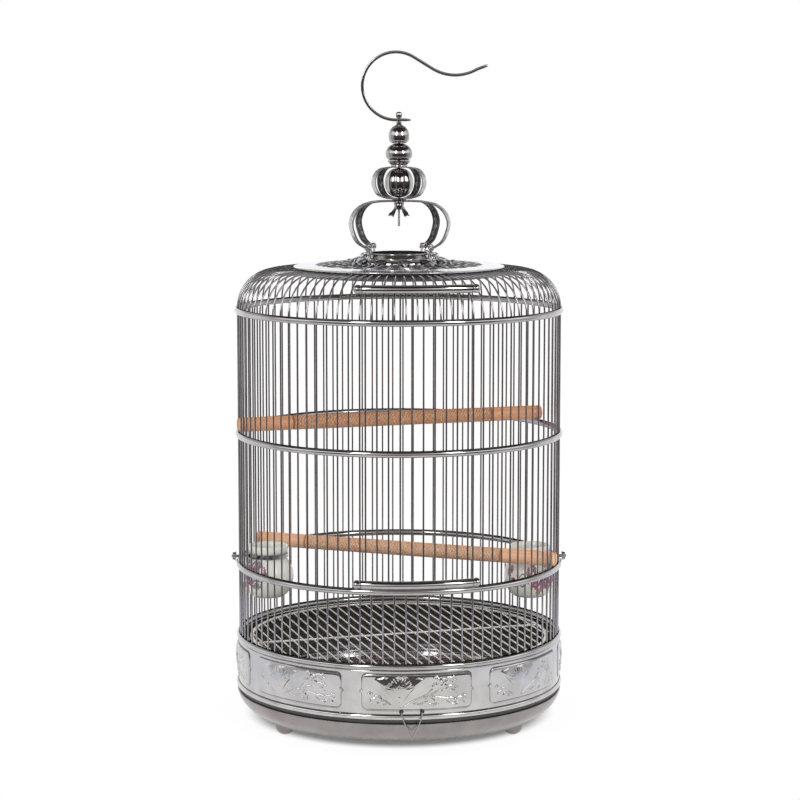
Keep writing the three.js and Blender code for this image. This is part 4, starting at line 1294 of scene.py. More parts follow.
@dataclass
class BaseBand(Fitting):
    """The embossed band under the wall, with its bead, foot and lugs.

    Attributes:
        panel_count: Number of embossed panels.
        panel_half: Half of a panel's length.
        panel_low: Height of a panel's foot.
        panel_high: Height of its top.
        panel_corner: Radius of its corners.
        columns: Grid columns for each panel.
        row_step: Distance between grid rows.
        foot_height: Height of the plain foot under the bead.
        skirt_height: Height at which the embossed skirt starts.
        bead_reach: How far the bead stands out.
        bead_half: Half of the bead's height.
        lip_height: Height of the turned lip at the top.
        lug_length: How far inside the skirt the lugs of the grate reach.
        hole_radius: Radius of the clips' holes.
        hole_rise: Height of the holes above the skirt's start.
    """

    panel_count: int = 8
    panel_half: float = 55.5
    panel_low: float = 50.8
    panel_high: float = 86.8
    panel_corner: float = 5.0
    columns: int = 190
    row_step: float = 0.7
    foot_height: float = 3.5
    skirt_height: float = 9.5
    bead_reach: float = 2.0
    bead_half: float = 2.9
    lip_height: float = 1.2
    lug_length: float = SKIRT_RADIUS - SHEET - GRATE_RADIUS + 5.5
    hole_radius: float = 2.3
    hole_rise: float = 2.5

    def outline(self, s: np.ndarray, t: np.ndarray) -> np.ndarray:
        """Distance inside the panel's outline, negative outside it.

        Args:
            s: Places along the panel, from its middle.
            t: Places up the panel, from its middle.

        Returns:
            The distances.
        """
        corner = self.panel_corner
        qx = np.abs(s) - (self.panel_half - corner)
        qy = np.abs(t) - ((self.panel_high - self.panel_low) / 2 - corner)
        box = np.hypot(np.maximum(qx, 0), np.maximum(qy, 0)) + np.minimum(np.maximum(qx, qy), 0) - corner
        point = (np.abs(np.abs(s) - self.panel_half + 1.2) + np.abs(t) * 1.05) / 1.45 - 2.5
        return -np.minimum(box, point)

    def spray(self, field: Relief) -> None:
        """Draws the flower spray of a panel.

        Args:
            field: Relief of one panel, with its middle at zero.
        """

        def spread(height: np.ndarray) -> np.ndarray:
            """Half of the big flower's width at a height above its root."""
            return 3.2 + 25.5 * np.clip(height / 33, 0, 1) ** 1.8

        s, t = field.s, field.t
        root = (-18.4, -18.6)
        x, v = s - root[0], t - root[1]
        climb = np.clip(v / 33, 0, 1)
        half = spread(v)
        share = x / half
        crest = 34.4 - 2.4 * share**2 + 0.35 * np.cos(x * 0.9 + 1) + 0.3 * np.cos(x * 1.7)
        body = soft_step(half - np.abs(x), 0, 2.4) * soft_step(crest - v, 0, 2.0) * soft_step(v, 0, 2.5)
        swell = (0.35 + 1.25 * np.sin(np.pi * climb) + 0.3 * np.sin(x * 0.32 + 0.6) * climb
                 - 0.25 * share**2 * climb)
        petals = Relief(s, t)
        for tier, (near, far, wide, count) in enumerate(((3.0, 17.5, 1.75, 13), (2.0, 12.0, 1.5, 10))):
            for i in range(count):
                lean = -68 + 136 * i / (count - 1) + 5 * math.sin(3.1 * i + tier)
                far += 0.8 * math.sin(2.3 * i)
                tip = math.radians(90 - lean)
                place = (root[0] + 1 + near * math.cos(tip), root[1] + 16.5 + near * math.sin(tip))
                petals.leaf(place, far - near - abs(lean) * 0.02, wide, 90 - lean, 1.0 - 0.25 * tier)
        for up, radius in ((3.4, 0.9), (8.2, 1.1), (13.0, 1.0)):
            petals.blossom((root[0] + 0.5, root[1] + up), radius, 4, 0.9)
        for side in (-1, 1):
            edge = [(root[0] + side * spread(r) * 0.94, root[1] + r) for r in np.linspace(3, 30, 10)]
            petals.raise_to(0.5 * petals.line(edge, 0.7))
        field.raise_to(body * (swell + 0.55 * petals.height * soft_step(crest - v, 0, 3)))
        stems = [
            ([(-16, -17), (-8, -11), (2, -6.5), (12, -4.5), (24, -6.5), (35, -9.5), (45, -10.5)], 0.7),
            ([(8, -5.5), (14, 1.5), (19, 6.5), (27, 11.5)], 0.6),
            ([(12, -4.5), (19, 0), (28, 1.5), (37, -1)], 0.55),
            ([(-8, -11), (2, -13), (9, -12), (16, -15)], 0.55),
            ([(-27, -13), (-33, -9), (-39, -7), (-46, -8)], 0.6),
            ([(24, -6.5), (31, -12), (38, -15)], 0.5),
        ]
        for path, wide in stems:
            field.raise_to(0.7 * field.line(path, wide))
        leaves = [
            ((-33, -9), 8, 2.2, 205, 0.8), ((-36, -7.5), 7.5, 2.1, 150, 0.85),
            ((-40, -7), 7, 2, 195, 0.8),
            ((-31, -11), 6.5, 1.9, 250, 0.7), ((-43, -7.4), 6, 1.8, 225, 0.7),
            ((3, -7), 10.5, 2.6, 8, 0.95), ((9, -5.6), 9, 2.4, -28, 0.85),
            ((15, 2.5), 8, 2.1, 60, 0.8), ((16, -4), 8, 2.1, 40, 0.85),
            ((4, -12.6), 9, 2.2, 25, 0.8), ((9, -12), 7.5, 2, -30, 0.75), ((28, 1.5), 8, 2.2, 30, 0.85),
            ((30, -8), 8.5, 2.1, -8, 0.8), ((38, -10), 8, 2.1, 22, 0.8),
            ((41, -10.4), 7.5, 1.9, -24, 0.75),
            ((33, 0.5), 7, 1.9, -35, 0.8), ((27, 11), 8, 2.1, 12, 0.8), ((22, 8.5), 6, 1.8, 110, 0.75),
        ]
        for spot, length, wide, angle, rise in leaves:
            field.leaf(spot, length, wide, angle, rise)
        for spot, radius, petals, rise, angle in [
            ((25.5, 8.2), 5.0, 5, 1.1, 20), ((34.5, 10.6), 4.2, 5, 1.0, 60),
            ((18.5, 12.0), 3.2, 5, 0.9, 10),
            ((38.5, -14.2), 4.1, 5, 1.0, 30), ((36.5, 2.2), 3.6, 5, 0.9, 0),
            ((46.5, -7.4), 3.3, 5, 0.85, 40),
            ((17.5, -14), 3.0, 5, 0.85, 15), ((-47, -2.8), 2.8, 5, 0.8, 25),
        ]:
            field.blossom(spot, radius, petals, rise, angle)

    def relief(self, angles: np.ndarray, heights: np.ndarray) -> tuple[np.ndarray, np.ndarray]:
        """How far the skirt stands out, and its share of raised work and light, over a grid.

        Args:
            angles: Angle of each column, in degrees.
            heights: Height of each row.

        Returns:
            The outward offsets, and the shares of raised work, which are low where shade is painted.
        """
        step = 360 / self.panel_count
        local = (angles + step / 2) % step - step / 2
        s = np.radians(local)[None, :] * SKIRT_RADIUS
        t = heights[:, None] - (self.panel_low + self.panel_high) / 2
        inside = self.outline(s, t)
        field = Relief(s * np.ones_like(t), t * np.ones_like(s))
        self.spray(field)
        raised = np.clip(field.height, -0.3, 2.6) * soft_step(inside, 2.0, 3.2)
        upper = soft_step(t, 8.0, 15.0)
        # Towards each panel's upper right the crease grows wider, in shape and in painted shade.
        shade = soft_step(s, -8.0, 12.0) * upper
        crease = np.exp(-(((inside - 0.1 - 0.5 * shade) / (0.6 + 0.35 * upper + 0.75 * shade)) ** 2))
        line = np.exp(-(((inside - 2.1) / 0.4) ** 2))
        panel = soft_step(inside, -0.1, 1.4) - 0.2 * line
        # The share paints shade in the crease round each panel, on its border line and on the relief's
        # steep slopes.
        share = 1 - 0.95 * crease - 0.3 * line - 1.5 * np.maximum(steepness(raised) - 0.2, 0)
        return panel + 0.9 * raised - 0.25 * crease, np.clip(share, 0, 1)

    def foot_and_inside(self, foot: float, skirt: float, top: float) -> list[Triple]:
        """Profile of the bead, the foot and the inside of the band.

        Args:
            foot: Height of the band's foot.
            skirt: Height at which the embossed skirt starts.
            top: Height of its top.

        Returns:
            Radius, height and share of raised work and light of each point, which is low for the painted
            shade in the groove under the skirt, under the bead and inside the band.
        """
        bead, outer, inner = foot + self.foot_height, SKIRT_RADIUS, SKIRT_RADIUS - SHEET
        curve = [(outer - 0.03, skirt - 0.03, 1.0), (outer - 0.5, skirt - 0.35, 0.0)]
        for i in range(13):
            turn = math.radians(80 - 160 * i / 12)
            curve.append((outer + 0.1 + self.bead_reach * math.cos(turn),
                          bead + self.bead_half + self.bead_half * math.sin(turn),
                          0.1 if i in (0, 12) else 1.0))
        curve += [(outer - 0.5, bead, 0.0), (outer - 0.5, foot + 0.2, 0.0), (outer - 0.7, foot, 0.0),
                  (outer - 1.5, foot, 0.0), (inner - 0.5, foot + 0.2, 0.2), (inner - 0.5, bead + 1, 0.2),
                  (inner, skirt, 0.2), (inner, top - 2.4, 0.2), (inner - 0.6, top - 1.8, 0.4),
                  (outer - 5.2, top - 1.2, 0.8), (outer - 5.2, top, 1.0), (outer - 0.6, top, 1.0),
                  (outer, top - 0.5, 1.0), (outer - 0.03, top - 1.17, 1.0)]
        return curve

    def build(self) -> None:
        """Builds the band."""
        foot, top = span("base_band")
        skirt, end = foot + self.skirt_height, top - self.lip_height
        total = self.panel_count * self.columns
        angles = np.arange(total) * 360 / total
        rows = int(round((end - skirt) / self.row_step))
        heights = np.linspace(skirt, end, rows + 1)
        offsets, share = self.relief(angles, heights)
        turns = np.radians(angles)[None, :]
        radii = SKIRT_RADIUS + offsets
        places = np.stack([radii * np.sin(turns), -radii * np.cos(turns),
                           heights[:, None] * np.ones_like(turns)],
                          axis=-1)
        keep = np.ones((rows, total), bool)
        apart = math.degrees(CLIP_SPACING / 2 / SKIRT_RADIUS)
        holes = [clip + side * apart for clip in CLIP_ANGLES for side in (-1, 1)]
        level = skirt + self.hole_rise
        for angle in holes:
            self.pierce(places, keep, angles, heights, angle, level)
        form = Form()
        form.grid(places, depth=share, keep=keep)
        curve = self.foot_and_inside(foot, skirt, top)
        form.lathe(curve, total // 4, closed=False, depths=[raised for _, _, raised in curve])
        lug = self.lug_length
        for i in range(6):
            middle_radius = SKIRT_RADIUS - SHEET + 0.5 - lug / 2
            form.block((0, -middle_radius, top - 1.4 - 0.75), (8, lug, 1.5), 0.25, 30 + 60 * i)
        for angle in holes:
            spot = around(angle, SKIRT_RADIUS, level)
            outward = np.array([spot[0], spot[1], 0]) / SKIRT_RADIUS
            side = np.array([-outward[1], outward[0], 0])
            # The hole linings get no raised share: painted shade inside the clips' holes.
            loops = np.array([[spot + outward * far + side * a + np.array([0, 0, b])
                               for a, b in ring(self.hole_radius, 24)] for far in (-1.1, 0.02)])
            form.grid(loops, depth=np.zeros(loops.shape[:2]), ends=(0,))
        finished(form, "base_band_embossed", "base_band", Slot.POLISHED, self.finishes.bright, sharp=60)

    def pierce(self, places: np.ndarray, keep: np.ndarray, angles: np.ndarray, heights: np.ndarray,
               angle: float, height: float) -> None:
        """Opens a round hole in the skirt's grid, and draws the points near its edge onto it.

        Args:
            places: Grid points, changed in place.
            keep: Faces that stay, changed in place.
            angles: Angle of each column.
            heights: Height of each row.
            angle: Angle of the hole.
            height: Height of the hole.
        """
        ds = np.radians((angles - angle + 180) % 360 - 180)[None, :] * SKIRT_RADIUS
        dt = heights[:, None] - height
        far = np.hypot(ds, dt)
        near = np.abs(far - self.hole_radius) < 0.6 * self.row_step
        for row, column in zip(*np.nonzero(near)):
            factor = self.hole_radius / far[row, column]
            s, t = ds[0, column] * factor, dt[row, 0] * factor
            radius = np.hypot(places[row, column, 0], places[row, column, 1])
            places[row, column] = around(angle + math.degrees(s / SKIRT_RADIUS), radius, height + t)
        inside = (far < self.hole_radius) | near
        corners = inside[:-1] & inside[1:]
        keep &= ~(corners & np.roll(corners, -1, axis=1))


@dataclass
class TrayClip(Fitting):
    """A bent wire clip that hangs from two holes of the band.

    Attributes:
        number: Number of the clip, from 1.
        angle: Its angle from the front.
        radius: Radius of its wire.
        bend: Radius of its bends.
    """

    number: int
    angle: float
    radius: float = 0.65
    bend: float = 2.2

    def build(self) -> None:
        """Builds the clip."""
        node = f"tray_clip_{self.number}"
        rise = span(node)[1] - 0.6
        half = CLIP_SPACING / 2
        inner = -(SKIRT_RADIUS - SHEET - 2.6)
        right = [(half + 3.5, inner, rise), (half, inner, rise), (half, -(SKIRT_RADIUS + 4.5), rise),
                 (half - 1.75, -(SKIRT_RADIUS + 4.7), rise - 7.9),
                 (0, -(SKIRT_RADIUS + 3.6), rise - 26.7)]
        left = [(-x, y, z) for x, y, z in right[:-1]]
        path = turned(rounded([*left, right[-1], *right[:-1][::-1]], self.bend, 5), self.angle)
        lean = np.cross(np.gradient(path, axis=0), turned([(0.3, 1, 0.25)], self.angle)[0])
        form = Form()
        form.sweep(path, ring(self.radius, WIRE_SIDES), lean)
        finished(form, f"{node}_wire", node, Slot.WIRE, self.finishes.wire, body=node, sharp=60)


@dataclass
class Tray(Fitting):
    """The tray with its feet and their screws.

    Attributes:
        floor_radius: Radius of the flat floor.
        rim_radius: Radius of the rim.
        lip: Height of the lip inside the band.
        lip_radius: Outer radius of the lip.
        wave_depth: Height of the slow waves in the pressed wall.
        ripple_depth: Height of the finer waves on them.
        foot_angles: Angles of the feet.
        foot_circle: Radius on which the feet stand.
        foot_radius: Radius of a ball foot.
    """

    floor_radius: float = 146.0
    rim_radius: float = 169.5
    lip: float = 5.5
    lip_radius: float = 165.9
    wave_depth: float = 0.42
    ripple_depth: float = 0.1
    foot_angles: tuple[float, ...] = (-66.3, 53.7, 173.7)
    foot_circle: float = 135.0
    foot_radius: float = 10.75

    def pan(self) -> None:
        """Builds the pan."""
        foot, top = span("tray")
        depth = top - foot - self.lip
        rim, floor = foot + depth, foot + SHEET
        shares = [(0, 0), (0.16, 0.03), (0.42, 0.18), (0.64, 0.35), (0.82, 0.55), (0.94, 0.78),
                  (1, 0.96)]
        width = self.rim_radius - self.floor_radius
        wall = spline([(self.floor_radius + width * a, foot + depth * b) for a, b in shares], 22)
        outer = [(0, foot), (40, foot), (self.floor_radius - 6, foot), *wall,
                 (self.rim_radius - 0.15, rim - 0.3), (self.rim_radius - 0.8, rim),
                 (self.lip_radius, rim), (self.lip_radius, top)]
        inner = [outer[-1], (self.lip_radius - SHEET, top), (self.lip_radius - SHEET, rim - 1.4)]
        inner += [(a - SHEET * 0.9, b + SHEET * 0.7) for a, b in wall[::-1][3:]]
        inner += [(self.floor_radius - 6, floor), (40, floor), (0, floor)]

        def waves(turns: np.ndarray, heights: np.ndarray) -> np.ndarray:
            """Waves in the pressed wall, which end short of its foot and its rim."""
            swell = self.wave_depth * np.sin(turns * 9 + 0.6) + self.ripple_depth * np.sin(turns * 23)
            return swell * (heights > foot + 3) * (heights < rim - 2)

        form = Form()
        # The outside darkens towards its foot, as painted shade under the tray.
        form.lathe(outer, 180, closed=False, depths=[min(1.0, 0.05 + (h - foot) / 18) for _, h in outer])
        # The pan's floor gets no raised share, as painted shade under the grate. The wall keeps the
        # pan's light colour as painted sheen.
        depths = [1.0 if radius > self.floor_radius - 2 else 0.0 for radius, _ in inner]
        form.lathe(inner, 180, closed=False, finish=1, depths=depths, fluting=waves)
        finished(form, "tray_pan", "tray", Slot.SATIN, self.finishes.satin, self.finishes.pan,
                 body="tray", sharp=50)

    def feet(self) -> None:
        """Builds the ball feet and the screws that hold them."""
        floor = span("tray")[0]
        top, centre = floor - 0.3, self.foot_radius - 0.5
        ball = [(0, 0)]
        for height in top * np.arange(19) / 18:
            ball.append((math.sqrt(max(self.foot_radius**2 - (height - centre) ** 2, 0)), height))
        ball.append((0, top))
        base = floor + SHEET + 0.3
        head = [(0, floor - 5), (1.7, floor - 5), (1.7, base), (4.5, base), (4.5, base + 0.7),
                (4.1, base + 1.3), (3.2, base + 1.7), (1.9, base + 1.8), (1.5, base + 1.0),
                (0, base + 0.9)]
        for i, angle in enumerate(self.foot_angles, 1):
            spot = around(angle, self.foot_circle, 0)
            form = Form()
            form.lathe(ball, 40, closed=False, centre=spot)
            finished(form, f"foot_{i}_ball", f"foot_{i}", Slot.POLISHED, self.finishes.foot, body="tray")
            form = Form()
            form.lathe(head, 32, closed=False, centre=spot)
            finished(form, f"foot_{i}_screw_head", f"foot_screw_{i}", Slot.SATIN, self.finishes.satin,
                     body="tray")

    def build(self) -> None:
        """Builds the tray and what is screwed to it."""
        self.pan()
        self.feet()


@dataclass
class Grate(Fitting):
    """The lift-out grate: a ring, parallel wires and one bar across.

    Attributes:
        rim: Width of the ring.
        pitch: Distance between its wires.
        yaw: Turn of the wires from the front.
        wire_radius: Radius of its wires.
        bar: Width and thickness of the bar.
    """

    rim: float = 3.5
    pitch: float = 10.9
    yaw: float = 10.2
    wire_radius: float = 0.8
    bar: Pair = (3.0, 1.7)

    def build(self) -> None:
        """Builds the grate."""
        low, high = span("grate")
        level, half = (low + high) / 2, (high - low) / 2
        inner = GRATE_RADIUS - self.rim
        across, ahead = turned([(1, 0, 0), (0, 1, 0)], self.yaw)
        form = Form()
        form.lathe(flat_ring(GRATE_RADIUS, self.rim, level, half), 144)
        most = math.floor(inner / self.pitch - 0.5)
        for number in range(-most, most + 2):
            offset = (number - 0.5) * self.pitch
            half_length = math.sqrt((inner + 0.6) ** 2 - offset**2)
            path = turned([(offset, y, level) for y in (-half_length, 0, half_length)], self.yaw)
            form.sweep(path, ring(self.wire_radius, 8), across)
        ends = turned([(x, 0, level) for x in (-inner - 0.5, 0, inner + 0.5)], self.yaw)
        form.sweep(ends, bar_section(*self.bar, 0.4), ahead)
        finished(form, "grate_wires_and_ring", "grate", Slot.SATIN, self.finishes.pale_wire,
                 body="grate")


# --------------------------------------------------------------------------- top


def engraved_strap(form: Form, path: np.ndarray, angle: float, width: float, thickness: float,
                   seed: int) -> None:
    """Adds a strap with engraved leaves on its outer face, in the plane of an angle.

    Args:
        form: Mesh to add to.
        path: Radius and height of points along the strap, evenly spaced.
        angle: Angle of the strap's plane from the front.
        width: Width of the strap.
        thickness: Its thickness.
        seed: Which way the leaves start, 0 or 1.
    """
    points = np.array([around(angle, radius, height) for radius, height in path])
    lengths = np.concatenate([[0], np.cumsum(np.linalg.norm(np.diff(points, axis=0), axis=1))])
    columns = np.linspace(-width / 2, width / 2, 23)
    work = Relief(*np.meshgrid(lengths, columns, indexing="ij"))
    edge = soft_step(width / 2 - np.abs(work.t), 0, 0.35)
    border = np.exp(-(((np.abs(work.t) - width / 2 + 0.8) / 0.4) ** 2))
    work.raise_to(0.3 * border * (0.65 + 0.35 * np.cos(work.s * 3.4)))
    pitch = 7.2
    for k in range(int(lengths[-1] / pitch) + 1):
        side = 1 if (k + seed) % 2 else -1
        start = k * pitch
        wave = [(start + pitch * i / 6, side * 1.15 * math.sin(math.pi * i / 6)) for i in range(7)]
        work.raise_to(0.3 * work.line(wave, 0.5))
        for ahead, aside, length, half, turn, rise in (
            (1.2, 0.4, 4.6, 1.0, 38, 0.36), (3.2, 1.0, 4.2, 0.9, -30, 0.34),
            (2.4, 0.9, 3.4, 0.8, -100, 0.3),
        ):
            work.leaf((start + ahead, side * aside), length, half, side * turn, rise)
        work.blossom((start + pitch * 0.55, -side * 1.5), 1.25, 5, 0.34)
    relief = (work.height - 0.22) * edge
    share = np.clip(0.75 + 1.2 * work.height - 2.6 * steepness(work.height), 0.12, 1)
    face = np.stack([work.t, thickness / 2 + relief - 0.1], axis=-1)
    back = np.stack([work.t[:, ::-1], -thickness / 2 - 0.5 * relief[:, ::-1]], axis=-1)
    # The back face gets a low raised share: painted shade on the strap's inner side, with the leaves
    # showing faintly.
    depth = np.concatenate([share, np.clip(1.1 * work.height[:, ::-1], 0, 0.45)], axis=1)
    form.sweep(points, np.concatenate([face, back], axis=1), -np.array(sideways(angle)), depth=depth)


def scroll(centre: Pair, radius: float, first: float, sweep_angle: float, growth: float,
           steps: int = 26) -> list[Pair]:
    """Points of a spiral that winds inwards.

    Args:
        centre: Middle of the spiral.
        radius: Radius at its start.
        first: Angle of its start, in degrees.
        sweep_angle: How far it winds, in degrees.
        growth: Share of the radius left at its end.
        steps: Pieces of the curve.

    Returns:
        The points, in the plane of the spiral.
    """
    made = []
    for i in range(steps + 1):
        share = i / steps
        turn = math.radians(first + sweep_angle * share)
        r = radius * (1 - share * (1 - growth))
        made.append((centre[0] + r * math.cos(turn), centre[1] + r * math.sin(turn)))
    return made


@dataclass
class Lid(Fitting):
    """The shallow lid: a polished border, and openwork scrolls round the collar.

    Attributes:
        radius: Outer radius.
        rise: Height of its middle above the rim.
        thickness: Thickness of the border.
        skirt_inset: How far inside the rim the skirt under the lid stands.
        skirt_drop: How far the skirt reaches down.
        window_outer: Outer radius of the openwork.
        window_inner: Inner radius of the openwork.
        window_half: Half of a window's width, at its widest.
        sectors: Repeats of the scroll pattern and its windows.
        sides: Facets round the lid.
    """

    radius: float = 108.7
    rise: float = 5.9
    thickness: float = 1.2
    skirt_inset: float = 5.2
    skirt_drop: float = 7.8
    window_outer: float = 86.0
    window_inner: float = 44.0
    window_half: float = 3.4
    sectors: int = 12
    sides: int = 144

    @property
    def level(self) -> float:
        """Height of the lid's rim."""
        return span("lid")[0]

    def surface(self, radius: float) -> float:
        """Height of the lid's underside at a radius."""
        share = np.interp(radius / self.radius, (0, 0.3, 0.62, 1), (1, 1, 0.5, 0))
        return self.level + self.rise * float(share)

    def plate(self, form: Form) -> None:
        """Adds the border with its rolled rim, the skirt under it and the middle plate.

        Args:
            form: Mesh to add to.
        """
        level, top, out = self.level, self.thickness, self.window_outer
        border = [(out, self.surface(out)), (self.radius - 3.0, self.surface(self.radius - 3.0)),
                  (self.radius - 1.2, level)]
        border += [(self.radius - 0.9 + 0.9 * math.cos(a), level + 0.75 + 0.75 * math.sin(a))
                   for a in np.linspace(-1.4, 1.7, 8)]
        border += [(self.radius - 2.2, top + self.surface(self.radius - 2.2)),
                   (out + 0.4, top + self.surface(out)), (out, top * 0.6 + self.surface(out))]
        form.lathe(border, self.sides, closed=False)
        form.lathe([border[-1], border[0]], self.sides, closed=False)
        plug, drop = self.radius - self.skirt_inset, level - self.skirt_drop
        # The skirt takes the scroll finish with a low raised share: painted shade under the lid.
        form.lathe([(plug, level + 0.6), (plug, drop), (plug - 0.8, drop), (plug - 0.8, level + 0.6)],
                   self.sides, finish=1, depths=[0.3] * 4)
        edge = self.window_inner + 3
        foot = self.surface(edge)
        hump = [(edge, foot + 1.0), (edge - 1.2, foot + 3.0), (edge - 3.4, foot + 4.6),
                (edge - 6, foot + 4.9),
                (edge - 8.6, foot + 4.2), (edge - 10.6, level + self.rise + top)]
        form.lathe([(0, level + self.rise), (edge - 12, level + self.rise), (edge, foot),
                    *spline(hump, 18), (0, level + top + self.rise)], 96, closed=False)

    def pierced(self, form: Form) -> None:
        """Adds the thin pierced plate that the scrolls lie on.

        Args:
            form: Mesh to add to.
        """
        radii = np.linspace(self.window_inner, self.window_outer, 31)
        turns = np.radians(np.arange(2 * self.sides) * 180 / self.sides)
        heights = np.array([self.surface(r) for r in radii])
        across = (radii[:-1] + radii[1:]) / 2
        share = np.clip((across - 50) / (84 - 50), 0, 1)
        half = self.window_half * np.sin(np.pi * share) ** 0.7
        step = 360 / self.sectors
        middle_turn = (np.degrees(turns) + 90 / self.sides + step / 2) % step - step / 2
        keep = np.abs(np.radians(middle_turn))[None, :] * across[:, None] > half[:, None]
        # The upper face takes the bright lid finish. The lower face takes the scroll finish with a low
        # raised share, painted near-black shade under the plate.
        for lift, depth, finish in ((0.7, 1.0, 0), (0.0, 0.1, 1)):
            rows = np.stack([radii[:, None] * np.sin(turns), -radii[:, None] * np.cos(turns),
                             (heights[:, None] + lift) * np.ones((1, len(turns)))], axis=-1)
            form.grid(rows, finish=finish, depth=np.full(rows.shape[:2], depth), keep=keep)

    def bar(self, form: Form, flat: Sequence[Sequence[float]], angle: float, lift: Sequence[float],
            width: float) -> None:
        """Adds one scroll bar over the lid's surface.

        Args:
            form: Mesh to add to.
            flat: Radius and sideways place of its points, in the sector's own directions.
            angle: Angle of the sector.
            lift: Height above the surface at its start, middle and end.
            width: Width of the bar.
        """
        outward, aside = around(angle, 1, 0), np.array(sideways(angle))
        lifts = np.interp(np.linspace(0, 1, len(flat)), [0, 0.5, 1], lift)
        path = np.array([outward * radius + aside * side for radius, side in flat])
        path[:, 2] = [0.6 + self.surface(far) + up
                      for far, up in zip(np.hypot(path[:, 0], path[:, 1]), lifts)]
        across = np.cross(np.gradient(path, axis=0), np.array([0, 0, 1.0]))
        section = np.array([(math.cos(a) * width / 2, math.sin(a) * width / 6)
                            for a in np.linspace(0, 2 * math.pi, 11)[:-1]])
        taper = np.interp(np.linspace(0, 1, len(path)), [0, 0.15, 0.8, 1], [0.7, 1, 1, 0.75])
        # The bar's lower half gets no raised share, which paints it near black as shade under the bar.
        raised = np.tile((section[:, 1] > 0).astype(float), (len(path), 1))
        form.sweep(path, section, across, finish=1, scale=taper, depth=raised)

    def tongue(self, form: Form, angle: float) -> None:
        """Adds one leaf that lies over the raised ring and curls outwards.

        Args:
            form: Mesh to add to.
            angle: Angle of the leaf.
        """
        flat = spline([(38, 9.4), (43, 10.2), (48, 8.8), (52.5, 6.6), (57.5, 6.9), (59, 4.4)], 18)
        path = np.array([around(angle, radius, self.level + height) for radius, height in flat])
        wide = np.interp(np.linspace(0, 1, len(path)), [0, 0.45, 0.85, 1], [8, 13, 7, 2])
        places = np.linspace(-0.5, 0.5, 9)
        section = np.array([(x, 0.8 * math.cos(x * math.pi) - 0.4) for x in places]
                           + [(x, -0.9) for x in places[::-1]])
        sections = np.repeat(section[None], len(path), axis=0)
        sections[..., 0] *= wide[:, None]
        form.sweep(path, sections, -np.array(sideways(angle)), finish=1)

    def build(self) -> None:
        """Builds the lid."""
        form = Form()
        self.plate(form)
        stem = [(86.5, 12), (80, 17), (70, 14), (60, 10.5), (52, 9.5), (47, 7)]
        spine = spline([(87, 0), (74, 0), (62, 0), (54, 0), (47, 0)], 14)
        for k in range(self.sectors):
            angle = 360 * (k + 0.5) / self.sectors
            for side in (-1, 1):
                curls = ((scroll((76, 8.5), 7.5, 20, 430, 0.25), (0.1, 0.3, 0.5)),
                         (scroll((59, 6.0), 6.0, 170, -400, 0.25), (0.1, 0.5, 0.9)))
                for curl, lift in curls:
                    self.bar(form, [(a, side * b) for a, b in curl], angle, lift, 3.3)
                stem_side = spline([(a, side * b) for a, b in stem], 20)
                self.bar(form, stem_side, angle, (0, 0.3, 0.6), 3.1)
            self.bar(form, spine, angle, (0, 0.4, 0.8), 2.6)
            self.tongue(form, 360 * k / self.sectors)
        self.pierced(form)
        finished(form, "lid_openwork", "lid", Slot.POLISHED, self.finishes.lid, self.finishes.scroll)


